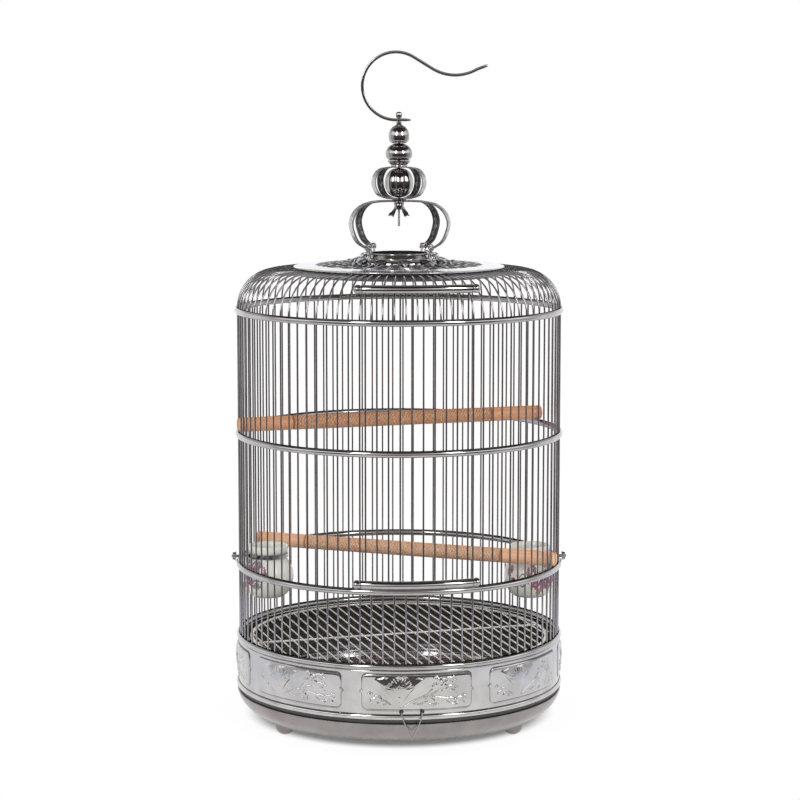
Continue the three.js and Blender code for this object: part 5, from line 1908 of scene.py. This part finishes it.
@dataclass
class Crown(Fitting):
    """The collar, the four engraved ribs with their scroll brackets, and the boss.

    Attributes:
        angles: Angles of the ribs.
        rise: Height of the ribs' top above the collar's foot.
        radius: Widest radius of the ribs.
        width: Width of a rib.
        thickness: Thickness of a rib.
        collar: Radius of the collar.
        bracket_height: Height of a bracket's top above the collar's foot.
        boss_radius: Radius of the boss.
    """

    angles: tuple[float, ...] = (-72.3, 65.7, 126.7, -134.3)
    rise: float = 60.6
    radius: float = 53.5
    width: float = 9.4
    thickness: float = 1.6
    collar: float = 30.3
    bracket_height: float = 12.6
    boss_radius: float = 9.0

    @property
    def level(self) -> float:
        """Height of the collar's foot."""
        return span("collar")[0]

    def collar_ring(self) -> None:
        """Builds the rolled collar."""
        r = self.collar
        roll = [(r + 0.1 + 1.1 * math.cos(a), 6.7 + 1.1 * math.sin(a))
                for a in np.linspace(-1.9, 2.4, 14)]
        profile = [(r - 1.4, 0), (r + 0.5, 0), (r + 0.5, 0.7), (r, 1.1), *roll, (r - 1.4, 7.4)]
        form = Form()
        form.lathe(profile, 96, centre=(0, 0, self.level))
        finished(form, "collar_rolled", "collar", Slot.POLISHED, self.finishes.dark)

    def rib(self, number: int, angle: float) -> None:
        """Builds one rib and its bracket.

        Args:
            number: Number of the rib, from 1.
            angle: Its angle from the front.
        """
        bracket = self.collar + 3.6
        foot = self.bracket_height - self.thickness
        shares = [(0.48, 0.99), (0.72, 0.94), (0.91, 0.79), (1, 0.57), (0.955, 0.34), (0.86, 0.16)]
        points = [(self.boss_radius + 0.3, self.rise)]
        points += [(self.radius * a, foot + (self.rise - foot) * b) for a, b in shares]
        path = spline([*points, (bracket, foot)], 150)
        path[:, 1] += self.level
        form = Form()
        engraved_strap(form, path, angle, self.width, self.thickness, number % 2)
        self.bracket(form, angle, bracket)
        finished(form, f"crown_rib_{number}_engraved", f"crown_rib_{number}", Slot.ENGRAVED,
                 self.finishes.engraved, self.finishes.bright)

    def bracket(self, form: Form, angle: float, radius: float) -> None:
        """Adds the cast scroll that joins a rib to the collar.

        Args:
            form: Mesh to add to.
            angle: Angle of the rib.
            radius: Radius at which the rib ends.
        """
        spine = spline([(radius + 1.5, 0.8), (radius - 0.3, 4.5), (radius + 0.4, 8.5),
                        (radius + 1.2, 11.5)], 12)
        big = scroll((radius + 4.3, 4.7), 4.5, 230, 470, 0.3, 34)
        small = scroll((radius + 0.6, 13.4), 2.8, -60, 420, 0.35, 28)
        pin = [(radius + 4.3, 3.0), (radius + 4.3, 6.4)]
        for flat, section, finish in ((spine, bar_section(6.0, 3.0, 1.0), 0),
                                      (big, bar_section(6.4, 2.0, 0.8), 1),
                                      (small, bar_section(6.6, 1.7, 0.7), 1), (pin, ring(1.4, 12), 1)):
            path = np.array([around(angle, a, self.level + b) for a, b in flat])
            form.sweep(path, section, -np.array(sideways(angle)), finish=finish)

    def build(self) -> None:
        """Builds the collar, ribs and boss."""
        self.collar_ring()
        for i, angle in enumerate(self.angles, 1):
            self.rib(i, angle)
        low, high = span("crown_boss")
        r = self.boss_radius
        profile = [(STUD_RADIUS, low), (r - 2, low), (r - 0.4, low + 0.5), (r, low + 1.5),
                   (r - 0.4, high - 0.5), (r - 1.6, high), (STUD_RADIUS, high)]
        form = Form()
        form.lathe(profile, 40)
        finished(form, "crown_boss_disc", "crown_boss", Slot.POLISHED, self.finishes.dark)


@dataclass
class Spindle(Fitting):
    """The threaded spindle with the wing nut under the crown and the knob nut on top.

    Attributes:
        thread: Pitch of the thread.
        root: Radius at the bottom of the thread.
        crest: Height of the thread.
        sides: Facets round the rod.
        knurls: Ridges round the knob nut.
    """

    thread: float = 0.7
    root: float = 1.06
    crest: float = 0.24
    sides: int = 16
    knurls: int = 12

    def rod(self) -> None:
        """Builds the rod with its thread."""
        low, high = span("spindle")
        turns = (high - low) / self.thread
        rows = np.linspace(0, turns, int(turns * 4) + 1)
        angles = np.radians(np.arange(self.sides) * 360 / self.sides)
        phase = rows[:, None] - angles[None, :] / (2 * math.pi)
        radii = self.root + self.crest * np.abs((phase % 1) * 2 - 1)
        places = np.stack([radii * np.cos(angles), radii * np.sin(angles),
                           (low + rows * self.thread)[:, None] * np.ones_like(radii)], axis=-1)
        form = Form()
        form.grid(places, ends=(0, -1))
        finished(form, "spindle_threaded", "spindle", Slot.WIRE, self.finishes.wire, sharp=60)

    def wing_nut(self) -> None:
        """Builds the wing nut."""
        top = span("wing_nut")[1]
        profile = [(STUD_RADIUS, -7), (3.4, -7), (3.9, -6.6), (4.0, -4.6), (4.6, -4.2), (4.8, -2.4),
                   (5.2, -1.6), (5.4, -0.4), (5.0, 0), (STUD_RADIUS, 0)]
        form = Form()
        form.lathe(profile, 36, centre=(0, 0, top))
        outline = rounded([(2.4, -6.2), (3.6, -9.8), (6.0, -15.5), (8.2, -13.4), (11.4, -13.8),
                           (9.4, -8.8), (5.6, -4.4), (3.4, -3.0)], 1.0, 4)
        along, normal = np.array(sideways(FACING)), -around(FACING, 1, 0)
        for side in (1, -1):
            flat = np.array([along * side * a + np.array([0, 0, top + b]) for a, b in outline])
            centre = flat.mean(axis=0)
            loops = np.array([centre + (flat - centre) * share + normal * offset
                              for share, offset in ((0.86, -0.7), (1, -0.45), (1, 0.45), (0.86, 0.7))])
            form.grid(loops, ends=(0, -1))
        finished(form, "wing_nut_cast", "wing_nut", Slot.ENGRAVED, self.finishes.dark, body="wing_nut")

    def knob_nut(self) -> None:
        """Builds the knob nut on top of the hook."""
        low, high = span("knob_nut")
        height = high - low
        shape = spline([(2.05, 0), (3.1, 0.16), (3.3, 0.4), (3.2, 0.66), (2.6, 0.88), (1.4, 0.98),
                        (0.0, 1)], 16)
        profile = [(STUD_RADIUS, low)] + [(max(a, 0), low + height * b) for a, b in shape]

        def knurls(turns: np.ndarray, heights: np.ndarray) -> np.ndarray:
            """Fine ridges round the nut, none on its dome."""
            return 0.08 * np.cos(turns * self.knurls) * (heights < high - 1.5)

        form = Form()
        form.lathe(profile, 32, closed=False, fluting=knurls)
        finished(form, "knob_nut_domed", "knob_nut", Slot.POLISHED, self.finishes.dark)

    def build(self) -> None:
        """Builds the rod and both nuts."""
        self.rod()
        self.wing_nut()
        self.knob_nut()


@dataclass
class Finial(Fitting):
    """The lantern with its egg, and the cup and balls above it.

    Attributes:
        lantern_angles: Angles of the lantern's straps.
        lantern_radius: Widest radius of the lantern.
        strap: Width and thickness of its straps.
        disc: Thickness of its discs.
        egg_radius: Radius of the egg.
        egg_flutes: Flutes round the egg.
        flute_depth: Depth of the flutes.
        neck: Height of the neck on the upper ball.
    """

    lantern_angles: tuple[float, ...] = (-69.3, 56.7, 131.7, -144.3)
    lantern_radius: float = 29.0
    strap: Pair = (8.4, 1.1)
    disc: float = 1.3
    egg_radius: float = 14.75
    egg_flutes: int = 8
    flute_depth: float = 1.3
    neck: float = 3.4

    def lantern(self) -> None:
        """Builds the lantern's discs and straps."""
        low, high = span("lantern")
        height, half = high - low, self.disc / 2
        form = Form()
        for base in (low, high - self.disc):
            form.lathe([(STUD_RADIUS, base), (8.6, base), (9.0, base + 0.3),
                        (9.0, base + self.disc - 0.3),
                        (8.6, base + self.disc), (STUD_RADIUS, base + self.disc)], 40)
        shares = [(0.42, 0.99), (0.76, 0.92), (0.98, 0.66), (0.98, 0.4), (0.8, 0.13), (0.46, 0.01)]
        points = [(self.lantern_radius * a, half + (height - 2 * half) * b) for a, b in shares]
        path = spline([(8.0, height - half), *points, (8.0, half)], 110)
        path[:, 1] += low
        for i, angle in enumerate(self.lantern_angles):
            engraved_strap(form, path, angle, *self.strap, i % 2)
        finished(form, "lantern_engraved", "lantern", Slot.ENGRAVED, self.finishes.engraved)

    def egg(self) -> None:
        """Builds the fluted egg."""
        low, high = span("lantern_egg")
        centre, half = (low + high) / 2, (high - low) / 2
        profile = [(self.egg_radius * math.cos(turn) ** 0.85, centre + half * math.sin(turn))
                   for turn in np.radians(-90 + 180 * np.arange(1, 32) / 32)]

        def flutes(turns: np.ndarray, heights: np.ndarray) -> np.ndarray:
            """Shallow melon flutes that fade towards the poles."""
            share = 1 - ((heights - centre) / half) ** 2
            return -self.flute_depth * share * (1 - np.abs(np.cos(turns * self.egg_flutes / 2)) ** 0.75)

        form = Form()
        form.lathe([(0, low), *profile, (0, high)], 120, closed=False, fluting=flutes)
        finished(form, "lantern_egg_fluted", "lantern_egg", Slot.POLISHED, self.finishes.dark)

    def beads(self) -> None:
        """Builds the finial's cup and balls."""
        low, high = span("finial_cup")
        cup = spline([(8.6, 0), (8.4, 0.9), (9.0, 2.0), (10.6, 3.2), (11.6, 4.3), (11.8, 5.2)], 14)
        top = high - low
        form = Form()
        form.lathe([(STUD_RADIUS, 0), *cup, (11.3, top), (STUD_RADIUS, top)], 56, centre=(0, 0, low))
        finished(form, "finial_cup_turned", "finial_cup", Slot.POLISHED, self.finishes.dark)
        shares = [(0.72, 0), (0.89, 0.09), (0.98, 0.22), (1, 0.38), (0.965, 0.56), (0.85, 0.74),
                  (0.63, 0.9), (0.36, 1)]
        for name, radius, neck in (("finial_lower_ball", 13.9, 0.0),
                                   ("finial_upper_ball", 10.75, self.neck)):
            low, high = span(name)
            top = high - low
            height = top - neck
            profile = [(STUD_RADIUS, 0), *spline([(radius * a, height * b) for a, b in shares], 26)]
            if neck:
                profile += [(3.3, height + 0.3), (2.6, height + 1.4), (2.8, height + 2.8),
                            (3.0, top - 0.2), (2.8, top)]
            form = Form()
            form.lathe([*profile, (STUD_RADIUS, top)], 64, centre=(0, 0, low))
            finished(form, f"{name}_polished", name, Slot.POLISHED, self.finishes.dark)

    def build(self) -> None:
        """Builds the lantern, the egg and the beads."""
        self.lantern()
        self.egg()
        self.beads()


@dataclass
class Hook(Fitting):
    """The flat-bar hook that swivels on the spindle.

    Attributes:
        width: Width of the bar.
        thickness: Thickness of the bar.
        heel: How far the bar reaches past the spindle.
        bend_radius: Radius of the round bend.
        bend_offset: How far left of the spindle the bend's middle is.
        bend_end: Angle at which the bend ends, in degrees.
        tail_radius: Radius of the tail's back bend.
        tail_offset: How far right of the spindle that bend's middle is.
        tail_rise: Height of that bend's foot above the bar.
        tail: Angles at which that bend starts and ends.
        tip_length: Length of the straight tip.
        tip_angle: Its angle from level.
    """

    width: float = 7.0
    thickness: float = 3.2
    heel: float = 12.0
    bend_radius: float = 34.4
    bend_offset: float = 3.1
    bend_end: float = 57.0
    tail_radius: float = 45.0
    tail_offset: float = 57.5
    tail_rise: float = 45.4
    tail: Pair = (-123.0, -60.0)
    tip_length: float = 12.4
    tip_angle: float = 20.0

    def build(self) -> None:
        """Builds the hook."""
        level = span("hook")[0] + self.thickness / 2
        points: list[Pair] = [(self.heel, 0.0), (self.heel - 5, 0.0)]
        for centre, radius, turns in (
            ((-self.bend_offset, self.bend_radius), self.bend_radius,
             np.linspace(270, self.bend_end, 60)),
            ((self.tail_offset, self.tail_rise + self.tail_radius), self.tail_radius,
             np.linspace(*self.tail, 16)),
        ):
            points += [(centre[0] + radius * math.cos(turn), centre[1] + radius * math.sin(turn))
                       for turn in np.radians(turns)]
        end, tip = points[-1], math.radians(self.tip_angle)
        points += [(end[0] + share * self.tip_length * math.cos(tip),
                    end[1] + share * self.tip_length * math.sin(tip))
                   for share in (0.35, 0.7, 1.0)]
        along = np.array(sideways(FACING))
        path = np.array([along * x + np.array([0, 0, level + z]) for x, z in points])
        scale = np.ones(len(path))
        scale[:2] = (0.55, 0.95)
        scale[-2:] = (0.97, 0.6)
        form = Form()
        form.sweep(path, bar_section(self.width, self.thickness, 0.9, 4), -around(FACING, 1, 0),
                   scale=scale)
        finished(form, "hook_flat_bar", "hook", Slot.POLISHED, self.finishes.dark, body="hook")


# --------------------------------------------------------------------------- perches and cups


@dataclass
class Perch:
    """A turned perch that sits on two wires.

    Attributes:
        name: CAD name of the perch, which is also its body.
        angles: Angles of the wires at its ends.
        tone: Tint of its wood, white for new wood.
        radius: Its radius.
        past: How far it reaches past the wires.
        smooth: Length of its smooth ends, up to a groove.
        inset: Place of the fine groove near each end.
        slot: Length, width and height of what is cut out of each end.
        slot_shift: How far outside the wire the middle of that is.
        sides: Facets round the perch.
    """

    name: str
    angles: Pair
    tone: Colour = (1.0, 1.0, 1.0)
    radius: float = 7.5
    past: float = 1.6
    smooth: float = 58.0
    inset: float = 5.0
    slot: Triple = (8, 3.6, 30)
    slot_shift: float = 2.2
    sides: int = 32

    def build(self) -> None:
        """Builds the perch."""
        height = mid_height(self.name)
        wires = [around(round(angle / PITCH) * PITCH, WIRE_CIRCLE, height) for angle in self.angles]
        axis = (wires[1] - wires[0]) / np.linalg.norm(wires[1] - wires[0])
        start, end = wires[0] - axis * self.past, wires[1] + axis * self.past
        length = float(np.linalg.norm(end - start))
        r = self.radius
        half = [(0, 0), (r - 1.8, 0), (r - 0.7, 0.35), (r, 1.3)]
        for place in (self.inset, self.smooth):
            half += [(r, place - 1.1), (r - 0.55, place - 0.5), (r - 0.8, place),
                     (r - 0.55, place + 0.5), (r, place + 1.1)]
        radii, places = zip(*half, *((radius, length - place) for radius, place in half[::-1]))
        dense = sorted({*places, *np.arange(2, length - 2, 2.0)})
        rows = [(0.0, 0.0), *((float(np.interp(x, places, radii)), x) for x in dense), (0.0, length)]
        path = np.array([start + axis * x for _, x in rows])
        sections = np.array([ring(max(radius, 0.01), self.sides) for radius, _ in rows])
        side, lift = np.array([-axis[1], axis[0], 0.0]), np.array([0, 0, 1.0])
        form = Form()
        form.grid(path[:, None] + sections[..., :1] * side + sections[..., 1:] * lift, ends=(0, -1))
        wood = TurnedWood(f"{self.name}_wood", tuple(start), tuple(end), self.smooth, self.inset,
                          self.tone)
        made = finished(form, f"{self.name}_turned", self.name, Slot.WOOD, wood.make(), body=self.name,
                        sharp=45)
        self.slot_ends(made, wires, axis)

    def slot_ends(self, made: bpy.types.Object, wires: Sequence[np.ndarray], axis: np.ndarray) -> None:
        """Cuts the slots that slip on the wires into both ends.

        Args:
            made: The perch's object.
            wires: Middle of the wire at each end.
            axis: Direction of the perch.
        """
        yaw = math.atan2(axis[1], axis[0])
        for spot, side in zip(wires, (-1, 1)):
            cutter = bmesh.new()
            bmesh.ops.create_cube(cutter, size=1, matrix=Matrix.Diagonal((*self.slot, 1)))
            centre = Vector(spot) + Vector(axis) * side * self.slot_shift
            turn = Matrix.Rotation(yaw, 4, "Z")
            matrix = Matrix.Translation(centre / MM) @ turn @ Matrix.Scale(1 / MM, 4)
            bmesh.ops.transform(cutter, matrix=matrix, verts=cutter.verts[:])
            mesh = bpy.data.meshes.new("slot_cutter")
            cutter.to_mesh(mesh)
            cutter.free()
            tool = placed("slot_cutter", mesh)
            cut = made.modifiers.new("slot", "BOOLEAN")
            cut.operation, cut.object, cut.solver = "DIFFERENCE", tool, "EXACT"
            bpy.context.view_layer.update()
            view = made.evaluated_get(bpy.context.evaluated_depsgraph_get())
            result = bpy.data.meshes.new_from_object(view)
            made.modifiers.clear()
            made.data = result
            bpy.data.objects.remove(tool)


@dataclass
class Cup(Fitting):
    """A porcelain cup in a strap ring that is bolted through the wall.

    Attributes:
        side: "left" or "right".
        gap: Number of the gap between two wires that its bolt goes through.
        painting: What is painted on it.
        stand_in: How far inside the wires its axis is.
        height: Height of the cup.
        belly: Its widest radius.
        neck: Radius of the neck that the strap ring holds.
        collar: Radius of the collar over the neck.
        foot: Radius of the foot.
        neck_height: Height of the neck.
        collar_height: Height of the collar.
        wall: Thickness of the porcelain.
        strap_height: Height of the strap ring.
        bolt_radius: Radius of the bolt.
        plate: Width, thickness and height of the plate inside the wall.
    """

    side: str
    gap: float
    painting: Painting
    stand_in: float = 29.5
    height: float = 54.0
    belly: float = 26.7
    neck: float = 19.4
    collar: float = 20.9
    foot: float = 17.0
    neck_height: float = 5.6
    collar_height: float = 7.0
    wall: float = 2.4
    strap_height: float = 4.6
    bolt_radius: float = 1.5
    plate: Triple = (13, 1.6, 9)

    @property
    def neck_top(self) -> float:
        """Height of the neck's top above the cup's foot."""
        return self.height - self.collar_height - 0.6

    def profile(self) -> list[Sequence[float]]:
        """Outer profile of the cup from its foot to its rim, and back down inside."""
        top, foot, neck, collar = self.height, self.foot, self.neck, self.collar
        neck_foot = self.neck_top - self.neck_height
        outer = spline([(foot - 0.2, 0.7), (foot + 3.4, 3.4), (24.6, 10.5), (26.5, 17.5),
                        (self.belly, 21.2),
                        (25.8, 28.2), (23.2, 34.6), (20.4, 38.9), (neck, neck_foot)], 40)
        return [
            (0, 1.2), (foot - 3.2, 1.2), (foot - 2.6, 0), (foot - 1.0, 0), *outer,
            (neck, self.neck_top - 0.3), (neck + 0.7, self.neck_top + 0.1),
            (collar, self.neck_top + 0.9),
            (collar, top - 1.0), (collar - 0.5, top - 0.2), (collar - 1.2, top),
            (collar - 2.0, top - 0.4),
            (collar - 2.5, top - 1.6), (neck - self.wall, self.neck_top), (neck - self.wall, neck_foot),
            *((max(a - self.wall, 1), b) for a, b in outer[::-1][2:-4]),
            (foot - 2, 4.2), (foot - 7, 3.2), (0, 3.0),
        ]

    def build(self) -> None:
        """Builds the cup, its holder and its nut."""
        angle, node = self.gap * PITCH, f"{self.side}_cup"
        centre = around(angle, WIRE_CIRCLE - self.stand_in, span(node)[0])
        form = Form()
        form.lathe(self.profile(), 72, closed=False, centre=centre)
        glaze = Porcelain(f"{node}_glaze", (float(centre[0]), float(centre[1])), self.belly,
                          self.painting)
        finished(form, f"{node}_porcelain", node, Slot.PORCELAIN, glaze.make(), body=node, sharp=50)
        self.holder(angle, centre)

    def holder(self, angle: float, centre: np.ndarray) -> None:
        """Builds the strap ring with its bolt and plate, and the nut outside the wall.

        Args:
            angle: Angle of the cup from the front.
            centre: Middle of the cup's foot.
        """
        low = centre[2] + self.neck_top - self.neck_height / 2 - self.strap_height / 2
        inner, high = self.neck + 0.8, low + self.strap_height
        form = Form()
        form.lathe([(inner, low), (inner + 0.7, low), (inner + 1, low + 0.3), (inner + 1, high - 0.3),
                    (inner + 0.7, high), (inner, high)], 64, centre=(centre[0], centre[1], 0))
        hoop_top = mid_height("lower_hoop") + math.sqrt(HOOP_RADIUS**2 - SLOT_HALF**2)
        rise = hoop_top + 0.3 + self.bolt_radius
        start = WIRE_CIRCLE - self.stand_in + inner + 0.5
        face = WIRE_CIRCLE - HOOP_RADIUS * 0.97 - 0.8
        outside = WIRE_CIRCLE + HOOP_RADIUS * 0.97 + 0.3
        bolt = np.array([around(angle, radius, rise) for radius in (start, outside + 4.7, outside + 5)])
        form.sweep(bolt, ring(self.bolt_radius, 16), sideways(angle), scale=np.array([1, 1, 0.75]))
        form.block((0, self.plate[1] / 2 - face, rise), self.plate, 0.4, angle)
        finished(form, f"{self.side}_cup_holder_strap", f"{self.side}_cup_holder", Slot.SATIN,
                 self.finishes.dark)

        def knurls(turns: np.ndarray, heights: np.ndarray) -> np.ndarray:
            """Fine ridges round the nut, none on its foot."""
            return 0.14 * np.cos(turns * 24) * (heights > 0.9)

        form = Form()
        form.lathe([(1.8, 0), (5.0, 0), (5.0, 0.75), (4.6, 1.0), (3.9, 1.0), (3.9, 3.5), (3.5, 3.8),
                    (1.8, 3.8)],
                   48, fluting=knurls)
        tilt = Matrix.Rotation(math.radians(90), 3, "X")
        laid = [tilt @ Vector(p) + Vector((0, -outside, rise)) for p in form.points[0]]
        form.points[0] = turned(laid, angle)
        finished(form, f"{self.side}_cup_nut_knurled", f"{self.side}_cup_nut", Slot.SATIN,
                 self.finishes.dark)


# --------------------------------------------------------------------------- studio


@dataclass
class Studio:
    """The floor, the lamps, the surroundings and the camera.

    Attributes:
        distance: Distance of the camera from the cage's axis, in metres.
        height: Its height.
        pitch: How far it looks down, in degrees.
        lens: Focal length for a 36 mm frame, in millimetres.
        shift: Sideways shift of the frame.
        floor_radius: Radius of the floor, in millimetres.
        shadow: Middle of the object's shadow, behind the object, in millimetres.
        fades: Steps in which the floor turns white round the shadow, as start, end and share.
        aim: Point that the lamps are aimed at, in metres.
    """

    distance: float = 2.45
    height: float = 0.6398
    pitch: float = 7.04
    lens: float = 106.92
    shift: float = 0.0013
    floor_radius: float = 800.0
    shadow: Pair = (4.3, 38.8)
    fades: tuple[Triple, ...] = ((128, 137, 0.19), (145, 169, 0.78), (170, 210, 0.03))
    aim: Triple = (0, 0, 0.3)

    def camera(self) -> None:
        """Adds the camera at the photograph's angle."""
        data = bpy.data.cameras.new("camera")
        data.lens, data.sensor_width, data.shift_x, data.clip_end = self.lens, 36, self.shift, 100
        made = placed("camera", data)
        made.location = (*around(FACING, self.distance, 0)[:2], self.height)
        made.rotation_euler = (math.radians(90 - self.pitch), 0, math.radians(FACING))
        bpy.context.scene.camera = made

    def floor(self) -> None:
        """Adds the pale round floor, which keeps the object's shadow."""
        form = Form()
        edge = self.floor_radius
        form.lathe([(0, 0), (edge * 0.4, 0), (edge, 0), (edge, -4), (0, -4)], 96, closed=False)
        made = placed("floor", form.mesh("floor"))
        paint, graph, _ = material("floor_paint")
        x, y, _ = graph.place()
        east, north = x - self.shadow[0], y - self.shadow[1]
        far = (east * east + north * north).root()
        first, *others = (far.ramp(start, end, 0, share) for start, end, share in self.fades)
        lift = sum(others, first) * graph.rays("Camera", "Glossy", "Transmission")
        cloth = graph.noise(graph.vector(x, y, 0.0), 0.5)
        pale = graph.mix(cloth * 0.2, (0.9, 0.9, 0.9), (0.86, 0.86, 0.865))
        diffuse = graph.node("ShaderNodeBsdfDiffuse", {}, {"Color": pale})
        cool = graph.mix(abs(x).ramp(120, 620), (1.0, 0.985, 0.96), (0.85, 0.88, 1.0))
        white = graph.mix(graph.rays("Camera"), cool, (1.0, 1.0, 1.0))
        glow = graph.node("ShaderNodeEmission", {}, {"Color": white, "Strength": 1.0})
        both = graph.node("ShaderNodeMixShader", {},
                          {0: lift, 1: diffuse.outputs[0], 2: glow.outputs[0]})
        graph.node("ShaderNodeOutputMaterial", {}, {"Surface": both.outputs[0]})
        made.data.materials.append(paint)

    def surroundings(self) -> None:
        """Sets the world: white behind the object, a darker room on the camera's side."""
        world = bpy.data.worlds.new("studio")
        bpy.context.scene.world = world
        world.use_nodes = True
        graph = Graph(world.node_tree)
        x, y, z = graph.place("Generated", 1)
        straight, mirrored = graph.rays("Camera", "Transmission"), graph.rays("Glossy")
        level = (x * x + y * y).root().highest(0.01)
        ahead = y / level * -1.0
        aside = abs(x) / level
        backdrop = ahead.ramp(0.0, -0.45) * z.ramp(0.5, 0.22)
        sides = ahead.ramp(0.6, 0.2) * z.ramp(0.7, 0.4) * 0.55
        strip = (z.ramp(0.08, 0.2) * z.ramp(0.58, 0.46) * ahead.ramp(-0.5, 0.0)
                 * aside.ramp(0.1, 0.4, 0.55, 1.0))
        top = z.ramp(0.72, 0.86) * ahead.ramp(0.2, -0.4) * 0.22
        room = backdrop.highest(sides).highest(strip).highest(top)
        bright = 0.04 + room * 0.96 + strip * 0.5 + (1 - abs(z)).ramp(0.6, 1.0, 0, 0.06)
        strength = mirrored * bright + (1 - mirrored) * 0.95
        strength = strength * (1 - straight) + straight
        tint = graph.mix(room, (1.0, 0.92, 0.87), (0.97, 0.98, 1.0))
        shown = graph.mix(straight, tint, (1.0, 1.0, 1.0))
        background = graph.node("ShaderNodeBackground", {}, {"Color": shown, "Strength": strength})
        graph.node("ShaderNodeOutputWorld", {}, {"Surface": background.outputs[0]})

    def lamp(self, name: str, place: Triple, size: Pair, power: float) -> None:
        """Adds a soft lamp aimed at the middle of the cage.

        Args:
            name: Name of the lamp.
            place: Where it stands, in metres.
            size: Its width and height, in metres.
            power: Its power, in watts.
        """
        data = bpy.data.lights.new(name, "AREA")
        data.shape, data.size, data.size_y, data.energy = "RECTANGLE", *size, power
        made = placed(name, data)
        made.location = place
        made.rotation_euler = (Vector(self.aim) - Vector(place)).to_track_quat("-Z", "Y").to_euler()

    def build(self) -> None:
        """Builds the studio."""
        bpy.context.scene.view_settings.view_transform = "Standard"
        self.camera()
        self.floor()
        self.surroundings()
        self.lamp("left_softbox", (-1.35, -2.0, 1.55), (0.5, 1.3), 14)
        self.lamp("right_softbox", (1.35, -2.0, 1.55), (0.5, 1.3), 11)


# --------------------------------------------------------------------------- the cage


MAGENTA: Colour = (0.42, 0.05, 0.16)
VIOLET: Colour = (0.25, 0.07, 0.2)
ROSE: Colour = (0.55, 0.14, 0.2)

LEFT_PAINTING = Painting(
    blooms=(
        Bloom(-52, 150, 6.0, VIOLET), Bloom(-68, 142, 5.0, MAGENTA), Bloom(-38, 161, 4.0, VIOLET),
        Bloom(-78, 156, 5.0, ROSE), Bloom(-150, 150, 6.5, MAGENTA), Bloom(150, 146, 6.0, VIOLET),
        Bloom(-14, 163, 3.0, VIOLET),
    ),
    strokes=((-46, 168, 6, 1.6, 0.9), (-26, 164, 6, 1.8, 0.9), (-66, 171, 6, 1.6, 0.8),
             (-14, 158, 4, 1.4, 0.8), (160, 154, 8, 1.5, 0.8)),
    sprays=((-62, 158, 9, 13), (-38, 164, 8, 8), (-34, 147, 8, 6), (-12, 156, 4, 7), (178, 150, 11, 9)),
)
RIGHT_PAINTING = Painting(
    blooms=(
        Bloom(4, 147, 6.6, MAGENTA), Bloom(22, 152, 6.2, VIOLET), Bloom(16, 140, 5.4, ROSE),
        Bloom(40, 146, 6.4, MAGENTA), Bloom(56, 152, 5.2, VIOLET), Bloom(34, 158, 4.4, ROSE),
        Bloom(-48, 150, 4.4, MAGENTA), Bloom(150, 148, 6.5, MAGENTA), Bloom(-160, 150, 5.5, VIOLET),
    ),
    strokes=((-21, 147, 5, 2.6, 1.1), (-40, 146, 5, 2.4, 1.1), (-30, 156, 5, 2.0, 0.9),
             (-54, 151, 5, 1.8, 0.9), (4, 168, 6, 2.0, 0.9), (170, 156, 8, 1.6, 0.8)),
    sprays=((-2, 159, 7, 8), (16, 151, 10, 11), (38, 154, 11, 14), (62, 156, 8, 11), (-62, 160, 5, 7),
            (-172, 150, 11, 9)),
)


def build_cage() -> None:
    """Builds every sub-assembly in order, then the studio."""
    finishes = Finishes()
    Wall(finishes).build()
    Door(finishes, "lower_door", WHOLES, 18.7, [-DOORWAY, *HALVES, DOORWAY]).build()
    Door(finishes, "upper_door", HALVES, 18.1).build()
    BaseBand(finishes).build()
    for i, angle in enumerate(CLIP_ANGLES, 1):
        TrayClip(finishes, i, angle).build()
    for kind in (Tray, Grate, Lid, Crown, Spindle, Finial, Hook):
        kind(finishes).build()
    Perch("upper_perch", (-87.3, 110.4), (0.82, 0.7, 0.6)).build()
    Perch("lower_perch", (-123.0, 66.7)).build()
    Cup(finishes, "left", -24.5, LEFT_PAINTING).build()
    Cup(finishes, "right", 21.5, RIGHT_PAINTING).build()
    Studio().build()


def main() -> None:
    """Builds the scene."""
    logging.basicConfig(level=logging.INFO, format="%(message)s")
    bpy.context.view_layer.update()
    build_cage()


if __name__ == "__main__":
    main()
